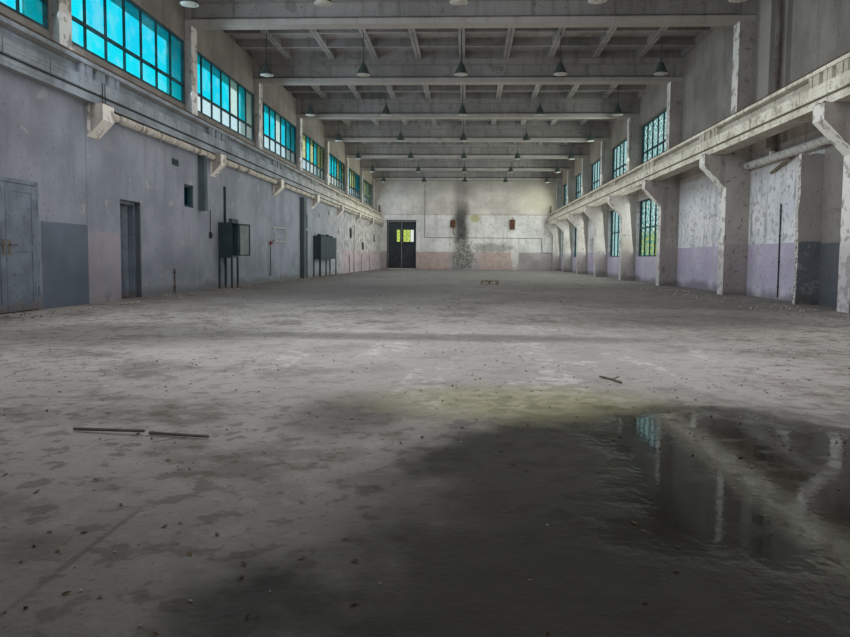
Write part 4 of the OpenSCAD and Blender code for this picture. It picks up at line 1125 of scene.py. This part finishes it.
def wallBracket():
    start, end, bottom, top = bracketFit["place"]
    low, high = spot(0, start, bottom), spot(0, end, top)
    out = innerX + bracketFit["out"]
    corners = [(out, low.y, low.z), (out, low.y, high.z), (out, high.y, high.z), (out, high.y, low.z)]
    bm = bmesh.new()
    addPipe(bm, corners + corners[:1], bracketFit["pipe"])
    for y in (low.y, high.y):
        for z in (low.z + 0.01, high.z - 0.01):
            addRod(bm, (innerX, y, z), (out, y, z), bracketFit["pipe"])
    newPiece("wallBracket", bm, paints["white"], smooth=True)


# A thin pipe that ends in a red valve with its wheel
valveFit = {"place": (23.25, 0.26, 1.35), "out": 0.03, "pipe": 0.007, "body": 0.017, "wheel": 0.024}


def wallValve():
    y, bottom, top = valveFit["place"]
    low, high = spot(0, y, bottom), spot(0, y, top)
    out = innerX + valveFit["out"]
    bm = bmesh.new()
    addPipe(bm, [(innerX, low.y, low.z), (out, low.y, low.z), (out, low.y, high.z)], valveFit["pipe"])
    newPiece("valvePipe", bm, paints["black"], smooth=True)
    bm = bmesh.new()
    addRod(bm, (out, high.y, high.z - 0.01), (out, high.y, high.z + 0.05), valveFit["body"], 14)
    wheel = Matrix.Translation((out + 0.032, high.y, high.z + 0.02)) @ Matrix.Rotation(math.pi / 2, 4, "Y")
    addRing(bm, wheel, valveFit["wheel"], 0.004, 16, 6)
    addRod(bm, (out, high.y, high.z + 0.02), (out + 0.036, high.y, high.z + 0.02), 0.006, 8)
    reach = valveFit["wheel"]
    addBox(bm, (out + 0.028, high.y - reach, high.z + 0.017), (out + 0.036, high.y + reach, high.z + 0.023), 0.001)
    newPiece("redValve", bm, paints["red"])


# Holes knocked into the plaster
holeSpots = [(31.46, 2.89), (33.65, 3.13), (36.2, 2.3)]


def wallPatches():
    bm = bmesh.new()
    for y, z in holeSpots:
        at = spot(0, y, z)
        addBox(bm, (innerX - 0.001, at.y - 0.035, at.z - 0.04), (innerX + 0.003, at.y + 0.03, at.z + 0.035), 0.002)
        addBox(bm, (innerX, at.y - 0.02, at.z - 0.055), (innerX + 0.004, at.y + 0.038, at.z - 0.01), 0.002)
    newPiece("wallPatches", bm, paints["black"])


# Thin upright pipes, each with two straps
uprightFit = {"out": 0.012, "pipe": 0.007, "strap": 0.014, "places": [
    (15.41, 0.02, 0.6), (39.6, 0.02, 1.05), (41.27, 0.02, 2.9), (44.2, 0.02, 1.1), (47.8, 0.02, 1.1)]}


def wallPipes():
    out, half = innerX + uprightFit["out"], uprightFit["strap"]
    bm = bmesh.new()
    for y, bottom, top in uprightFit["places"]:
        low, high = spot(0, y, bottom), spot(0, y, top)
        addRod(bm, (out, low.y, low.z), (out, high.y, high.z), uprightFit["pipe"], 8)
        for z in (low.z + 0.06, high.z - 0.05):
            addBox(bm, (innerX, low.y - half, z), (innerX + 0.021, low.y + half, z + 0.012), 0.002)
    newPiece("wallPipes", bm, paints["rusty"])


# Plates with their bolts where the beams rest on the corbels, and two loose rods at the third line
plates = {"out": 0.048, "half": 0.08, "thick": 0.007, "bolt": 0.045, "rodTop": 0.2, "rodLine": 2}


def corbelPlates():
    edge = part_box("crane_beams_left")[1].x
    for side in (-1, 1):
        low, high = sorted((side * abs(edge), side * (abs(edge) - plates["out"])))
        y = lineY(0)
        bm = bmesh.new()
        addBox(bm, (low, y - plates["half"], beamLow.z),
               (high, y + plates["half"], beamLow.z + plates["thick"]), 0.002)
        for way in (-1, 1):
            at = Vector(((low + high) / 2, y + way * plates["bolt"], beamLow.z + plates["thick"]))
            addRod(bm, at, at + Vector((0, 0, 0.014)), 0.009, 6)
        repeated("bearingPlates" + ("Left" if side < 0 else "Right"), bm, paints["rusty"],
                 hall["bays"] + 1, (0, bay, 0))
    bm = bmesh.new()
    x = edge + 0.012
    line = lineY(plates["rodLine"])
    for y, lean in ((line - 0.03, 0.008), (line + 0.02, -0.006)):
        addRod(bm, (x, y, beamLow.z + plates["thick"]), (x, y + lean, beamLow.z + plates["rodTop"]), 0.005, 8)
    newPiece("looseRods", bm, paints["black"])


# Right side: an old strut under the lagged pipe
strutFit = {"ends": ((16.51, 3.05), (15.42, 3.27)), "half": 0.02}


def leaningStrut():
    low, high = (spot(0, y, z) for y, z in strutFit["ends"])
    bm = bmesh.new()
    addRod(bm, (columnX - 0.02, low.y, low.z), (columnX - 0.05, high.y, high.z), strutFit["half"], 4)
    newPiece("leaningStrut", bm, paints["wood"])


# A thin conduit on the right wall with its clips
conduitFit = {"place": (15.95, 0.05, 2.25), "pipe": 0.008, "clips": 4, "pitch": 0.3}


def wallConduit():
    y, bottom, top = conduitFit["place"]
    low, high = spot(0, y, bottom), spot(0, y, top)
    bm = bmesh.new()
    addRod(bm, (columnX - 0.01, low.y, low.z), (columnX - 0.01, high.y, high.z), conduitFit["pipe"], 8)
    for i in range(conduitFit["clips"]):
        z = low.z + 0.12 + i * conduitFit["pitch"]
        addBox(bm, (columnX - 0.02, low.y - 0.016, z), (columnX, low.y + 0.016, z + 0.012), 0.002)
    newPiece("wallConduit", bm, paints["black"])


# Gate wall: two rusty boxes with lids, their pipes and a knob
farBoxes = {"places": [(-1.12, -0.72, 3.36, 3.94), (3.62, 4.02, 3.22, 4.02)], "deep": 0.075, "pipe": 0.012}


def rustyBoxes():
    face = ledgeY - farBoxes["deep"]
    pipe = farBoxes["pipe"]
    bm = bmesh.new()
    for start, end, bottom, top in farBoxes["places"]:
        low, high = spot(start, 0, bottom), spot(end, 0, top)
        middle = (low.x + high.x) / 2
        knobX, knobZ = low.x + 0.05, low.z + 0.12
        addBox(bm, (low.x, face, low.z), (high.x, ledgeY, high.z), 0.008)
        addBox(bm, (low.x + 0.02, face - 0.008, low.z + 0.03), (high.x - 0.02, face + 0.001, high.z - 0.03), 0.004)
        addRod(bm, (middle, ledgeY - 0.02, high.z), (middle, ledgeY - 0.02, high.z + 0.1), pipe, 10)
        addRod(bm, (knobX, face - 0.015, knobZ), (knobX, face, knobZ), pipe, 10)
    start, bottom = farBoxes["places"][0][::2]  # a bent pipe leaves the left box
    low = spot(start, 0, bottom)
    y = ledgeY - 0.03
    addPipe(bm, [(low.x + 0.12, y, low.z), (low.x + 0.12, y, low.z - 0.2), (low.x + 0.16, y, low.z - 0.3)], pipe)
    newPiece("rustyBoxes", bm, paints["rusty"])


wallVent()
wallSwitch()
wallBracket()
wallValve()
wallPatches()
wallPipes()
corbelPlates()
leaningStrut()
wallConduit()
rustyBoxes()
print("wall pieces made")


# Doors: a handle on its plate on each side of a leaf, in the leaf's own place so that it swings with it
doorFit = {"height": 0.5, "plate": (0.034, 0.12), "lever": 0.07, "inset": 0.03, "face": -0.006, "back": -0.028}
doorLeaves = [  # body, hinge, angle and length of the leaf, whether it is mirrored
    ("near_door_leaf", (-3.369, -8.9605), 0, 0.373, False), ("far_door_leaf", (-3.369, -8.2095), 0, 0.373, True),
    ("side_door", (-3.516, -6.458), 135, 0.366, False),
]


def addHandle(bm, turn, way):  # in a frame whose X points out of the leaf's face and whose Y runs to its free edge
    wide, tall = doorFit["plate"]
    x = doorFit["face"] if way > 0 else doorFit["back"]

    def at(out, y, z):
        return turn @ Vector((x + way * out, y, z))

    plate = sorted((x, x + way * 0.003))
    addBox(bm, (plate[0], -wide / 2, -tall / 2), (plate[1], wide / 2, tall / 2), 0.001, turn)
    addPipe(bm, [at(0, 0, 0.02), at(0.016, 0, 0.02), at(0.017, -doorFit["lever"], 0.017)], 0.0045, 10)
    addRod(bm, at(0, 0, -0.03), at(0.004, 0, -0.03), 0.006, 10)


def doorHandles():
    for body, hinge, angle, length, mirrored in doorLeaves:
        turn = Matrix.Translation((*hinge, floorTop + 0.008)) @ Matrix.Rotation(math.radians(angle), 4, "Z")
        if mirrored:
            turn = turn @ Matrix.Diagonal((1, -1, 1, 1))
        turn = turn @ Matrix.Translation((0, length - doorFit["inset"], doorFit["height"]))
        bm = bmesh.new()
        addHandle(bm, turn, 1)
        addHandle(bm, turn, -1)
        newPiece("handles_" + body, bm, paints["pipe"], body)


# Gate: a pull bar and a drop bolt inside each leaf
gateFit = {"pull": 0.16, "height": 0.95, "out": 0.03, "bolt": 0.3}


def gatePieces():
    for node, body, way in (("gate_left_leaf", "gate_left", 1), ("gate_right_leaf", "gate_right", -1)):
        low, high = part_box(node)
        face = low.y
        x = (high.x if way > 0 else low.x) - way * 0.03
        z = low.z + gateFit["height"]
        out = face - gateFit["out"]
        bm = bmesh.new()
        addPipe(bm, [(x, face, z), (x, out, z), (x, out, z + gateFit["pull"]), (x, face, z + gateFit["pull"])], 0.006)
        addRod(bm, (x, face - 0.008, low.z + 0.02), (x, face - 0.008, low.z + gateFit["bolt"]), 0.006, 10)
        for z in (low.z + 0.06, low.z + gateFit["bolt"] - 0.05):
            addBox(bm, (x - 0.014, face - 0.016, z), (x + 0.014, face, z + 0.018), 0.002)
        newPiece("pull_" + body, bm, paints["rusty"], body)


# Switch cabinet: rows of fuse blocks between two rails
fuseFit = {"rows": 4, "perRow": 5, "block": (0.03, 0.026, 0.045), "pitch": (0.042, 0.1), "sheet": 0.005}


def fuseBlocks():
    low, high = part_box("switch_cabinet")
    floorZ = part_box("switch_cabinet_door")[0].z
    deep, wide, tall = fuseFit["block"]
    pitchY, pitchZ = fuseFit["pitch"]
    back = low.x + fuseFit["sheet"] - 0.0005
    front = back + deep
    bm = bmesh.new()
    for z in (0.06, 0.33):
        addBox(bm, (back, low.y + 0.02, floorZ + z), (back + 0.006, high.y - 0.02, floorZ + z + 0.09), 0.002)
    for row in range(fuseFit["rows"]):
        for i in range(fuseFit["perRow"]):
            y = low.y + 0.03 + i * pitchY
            z = floorZ + 0.045 + row * pitchZ
            addBox(bm, (back, y, z), (front, y + wide, z + tall), 0.003)
            addBox(bm, (front, y + 0.007, z + 0.012), (front + 0.008, y + wide - 0.007, z + 0.03), 0.002)
    newPiece("fuseBlocks", bm, paints["black"])


# Wires that fall from one rail to the other, each a little astray
wireFit = {"count": 9, "pitch": 0.024, "radius": 0.0022, "seed": 5}


def cabinetWires():
    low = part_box("switch_cabinet")[0]
    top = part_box("switch_cabinet_door")[0].z + 0.43
    back = low.x + fuseFit["sheet"] - 0.0005
    spread = random.Random(wireFit["seed"])
    bm = bmesh.new()
    for i in range(wireFit["count"]):
        x = back + 0.012 + 0.01 * spread.random()
        y = low.y + 0.035 + i * wireFit["pitch"]
        addPipe(bm, [(x, y, top), (x + 0.03, y + 0.006 * spread.random(), top - 0.11),
                     (x + 0.04, y + 0.02 * (spread.random() - 0.5), top - 0.24),
                     (x + 0.02, y + 0.015 * (spread.random() - 0.5), top - 0.38)], wireFit["radius"], 6)
    newPiece("cabinetWires", bm, paints["rusty"], smooth=True)


# A pale lining and a latch, made in the frame of the open cabinet door so that they swing with it
leafFit = {"openAngle": 163, "rim": 0.018}


def cabinetDoorPieces():
    low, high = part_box("switch_cabinet")
    leafLow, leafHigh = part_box("switch_cabinet_door")
    angle = math.radians(leafFit["openAngle"])
    along = Vector((math.sin(angle), -math.cos(angle), 0))
    inward = Vector((-math.cos(angle), -math.sin(angle), 0))
    turn = Matrix((along, inward, Vector((0, 0, 1)))).transposed().to_4x4()
    turn = Matrix.Translation((high.x + 0.011, high.y - 0.005, leafLow.z)) @ turn
    rim = leafFit["rim"]
    width = high.y - low.y - 0.01
    tall = leafHigh.z - leafLow.z
    bm = bmesh.new()
    addBox(bm, (rim + 0.002, -0.005, rim + 0.002), (width - rim - 0.002, -0.003, tall - rim - 0.002), 0.0005, turn)
    newPiece("doorLining", bm, paints["lining"], "cabinet_door")
    bm = bmesh.new()
    addBox(bm, (width - rim + 0.003, 0.004, tall / 2 - 0.03), (width - 0.004, 0.009, tall / 2 + 0.03), 0.001, turn)
    newPiece("doorLatch", bm, paints["black"], "cabinet_door")


# Second cabinet: shut doors with knobs and louvres, and a few lumps of rubble on its top
secondFit = {"doors": 4, "bottom": 0.41, "gap": 0.01, "louvres": 5,
             "lumps": [(2.0, 0.05), (2.42, 0.035), (2.9, 0.06), (3.35, 0.04)]}


def secondCabinetDoors():
    low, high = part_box("second_cabinet")
    bottom = floorTop + secondFit["bottom"]
    middle = (bottom + high.z) / 2
    wide = (high.y - low.y - 0.04) / secondFit["doors"]
    bm = bmesh.new()
    for i in range(secondFit["doors"]):
        start = low.y + 0.02 + i * wide
        end = start + wide - secondFit["gap"]
        addBox(bm, (high.x - 0.001, start, bottom + 0.03), (high.x + 0.006, end, high.z - 0.03), 0.002)
        addRod(bm, (high.x + 0.005, end - 0.04, middle), (high.x + 0.022, end - 0.04, middle), 0.009, 12)
        for j in range(secondFit["louvres"]):
            z = high.z - 0.12 + j * 0.012
            addBox(bm, (high.x + 0.005, start + 0.08, z), (high.x + 0.009, end - 0.08, z + 0.005), 0.001)
    for y, size in secondFit["lumps"]:
        addBox(bm, (low.x + 0.04, y, high.z - 0.002), (low.x + 0.12, y + 2 * size, high.z + size), 0.008)
    newPiece("secondCabinetDoors", bm, paints["cabinet"])


# Outside: hinges, hasps and rims on the fixed steel doors
outerFit = {"ways": [(-8.9975, -8.1725), (-6.861, -6.421), (0.795, 1.235)], "strap": 0.18,
            "heights": (0.2, 0.55, 0.9)}


def outerDoorPieces():
    low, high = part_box("outer_doors")
    face = low.x
    bm = bmesh.new()
    for start, end in outerFit["ways"]:
        hinge = start + 0.01
        for z in outerFit["heights"]:
            foot = floorTop + z
            addBox(bm, (face - 0.004, hinge, foot), (face, hinge + outerFit["strap"], foot + 0.03), 0.001)
            addRod(bm, (face - 0.002, start + 0.012, foot - 0.01), (face - 0.002, start + 0.012, foot + 0.04), 0.0035)
        addBox(bm, (face - 0.005, end - 0.12, floorTop + 0.52), (face, end - 0.03, floorTop + 0.55), 0.001)
        for y in (start + 0.03, end - 0.05):
            addBox(bm, (face - 0.003, y, floorTop + 0.03), (face, y + 0.02, high.z - 0.03), 0.001)
    newPiece("outerDoorIrons", bm, paints["rusty"])


doorHandles()
gatePieces()
fuseBlocks()
cabinetWires()
cabinetDoorPieces()
secondCabinetDoors()
outerDoorPieces()
print("door and cabinet pieces made")


# Floor: a stick broken in two, and a twig
stickFit = {"stick": [(-1.75, 2.79), (-1.36, 2.75), (-1.33, 2.745), (-1.01, 2.70)],
            "twig": [(1.29, 4.66), (1.36, 4.55), (1.40, 4.42)]}


def sticks():
    bm = bmesh.new()
    points = [spot(x, y, 0.014) for x, y in stickFit["stick"]]
    addRod(bm, points[0], points[1] + Vector((0, 0, 0.004)), 0.0045, 8, tip=0.004)
    addRod(bm, points[2], points[3], 0.005, 8, tip=0.0035)
    newPiece("paleStick", bm, paints["lining"], smooth=True)
    bm = bmesh.new()
    points = [spot(x, y, 0.012) for x, y in stickFit["twig"]]
    addPipe(bm, points, 0.004, 7)
    addRod(bm, points[1], points[1] + Vector((0.03, 0.025, 0.006)), 0.0025, 6)
    newPiece("twig", bm, paints["wood"])


# A pallet of boards on three bearers
palletFit = {"x": (0.76, 1.37), "y": (23.45, 23.95), "bearer": (0.024, 0.05), "boards": 4, "board": 0.052,
             "pitch": 0.062}


def boardBlock():
    startX, endX = palletFit["x"]
    startY, endY = palletFit["y"]
    low, high = spot(startX, startY, 0), spot(endX, endY, 0.2)
    wide, tall = palletFit["bearer"]
    bm = bmesh.new()
    for x in (low.x, (low.x + high.x) / 2 - wide / 2, high.x - wide):
        addBox(bm, (x, low.y, low.z), (x + wide, high.y, low.z + tall), 0.003)
    for i in range(palletFit["boards"]):
        y = low.y + i * palletFit["pitch"]
        addBox(bm, (low.x, y, low.z + tall), (high.x, y + palletFit["board"], low.z + tall + 0.016), 0.003)
    newPiece("boardBlock", bm, paints["wood"])


# Dry leaves and crumbs of plaster, strewn by the tree above
strewn = [  # name, piece, middle in real metres, width, length, density per square metre, seed, sizes
    ("nearLeaves", "leaf", (0, 5.2), 6.2, 5.6, 230.0, 3, 0.2, 0.75),
    ("hallLeaves", "leaf", (0, 31), 6.2, 20.0, 32.0, 4, 0.6, 1.5),
    ("nearCrumbs", "crumb", (0, 5.2), 6.2, 5.6, 80.0, 5, 0.15, 0.6),
    ("leftCrumbs", "crumb", (-6.3, 27), 0.42, 26.0, 260.0, 6, 0.6, 2.4),
    ("rightCrumbs", "crumb", (6.2, 30), 0.6, 23.0, 220.0, 7, 0.6, 2.6),
]


def leafMesh():
    bm = bmesh.new()
    outline = [(-0.011, 0, 0.001), (-0.004, -0.0045, 0.0025), (0.005, -0.004, 0.002), (0.011, 0, 0.0045),
               (0.004, 0.005, 0.003), (-0.005, 0.004, 0.0015)]
    ring = [bm.verts.new(p) for p in outline]
    middle = bm.verts.new((0, 0, 0.0005))
    for a, b in zip(ring, ring[1:] + ring[:1]):
        bm.faces.new((a, b, middle))
    return bm


def crumbMesh():
    bm = bmesh.new()
    bmesh.ops.create_icosphere(bm, subdivisions=1, radius=0.006)
    for vert in bm.verts:
        vert.co *= 0.85 + 0.5 * noise.noise(vert.co * 400)
        vert.co.z = vert.co.z * 0.55 + 0.002
    return bm


def strewnPieces():
    for name, kind, (x, y), width, length, density, seed, small, large in strewn:
        bm = leafMesh() if kind == "leaf" else crumbMesh()
        grown(name, bm, strewer, paints[kind],
              {"Middle": tuple(spot(x, y, 0.002)), "Width": width, "Length": length, "Density": density,
               "Seed": seed, "Smallest": small, "Largest": large})


sticks()
boardBlock()
strewnPieces()
print("floor pieces made")


# Stage: a plain pale floor
def addStage():
    bm = bmesh.new()
    bmesh.ops.create_grid(bm, x_segments=1, y_segments=1, size=150)
    bmesh.ops.translate(bm, vec=(0, 0, -0.001), verts=bm.verts)
    finish = Finish("paleFloor", 0.95)
    finish.colour(finish.tint(finish.noise(0.3, 2), "d9d8d5", "dddcda"))
    mesh = bpy.data.meshes.new("stageFloor")
    bm.to_mesh(mesh)
    bm.free()
    mesh.materials.append(finish.material)
    floor = bpy.data.objects.new("stageFloor", mesh)
    bpy.context.scene.collection.objects.link(floor)


addStage()
bpy.context.scene.view_settings.view_transform = "Standard"
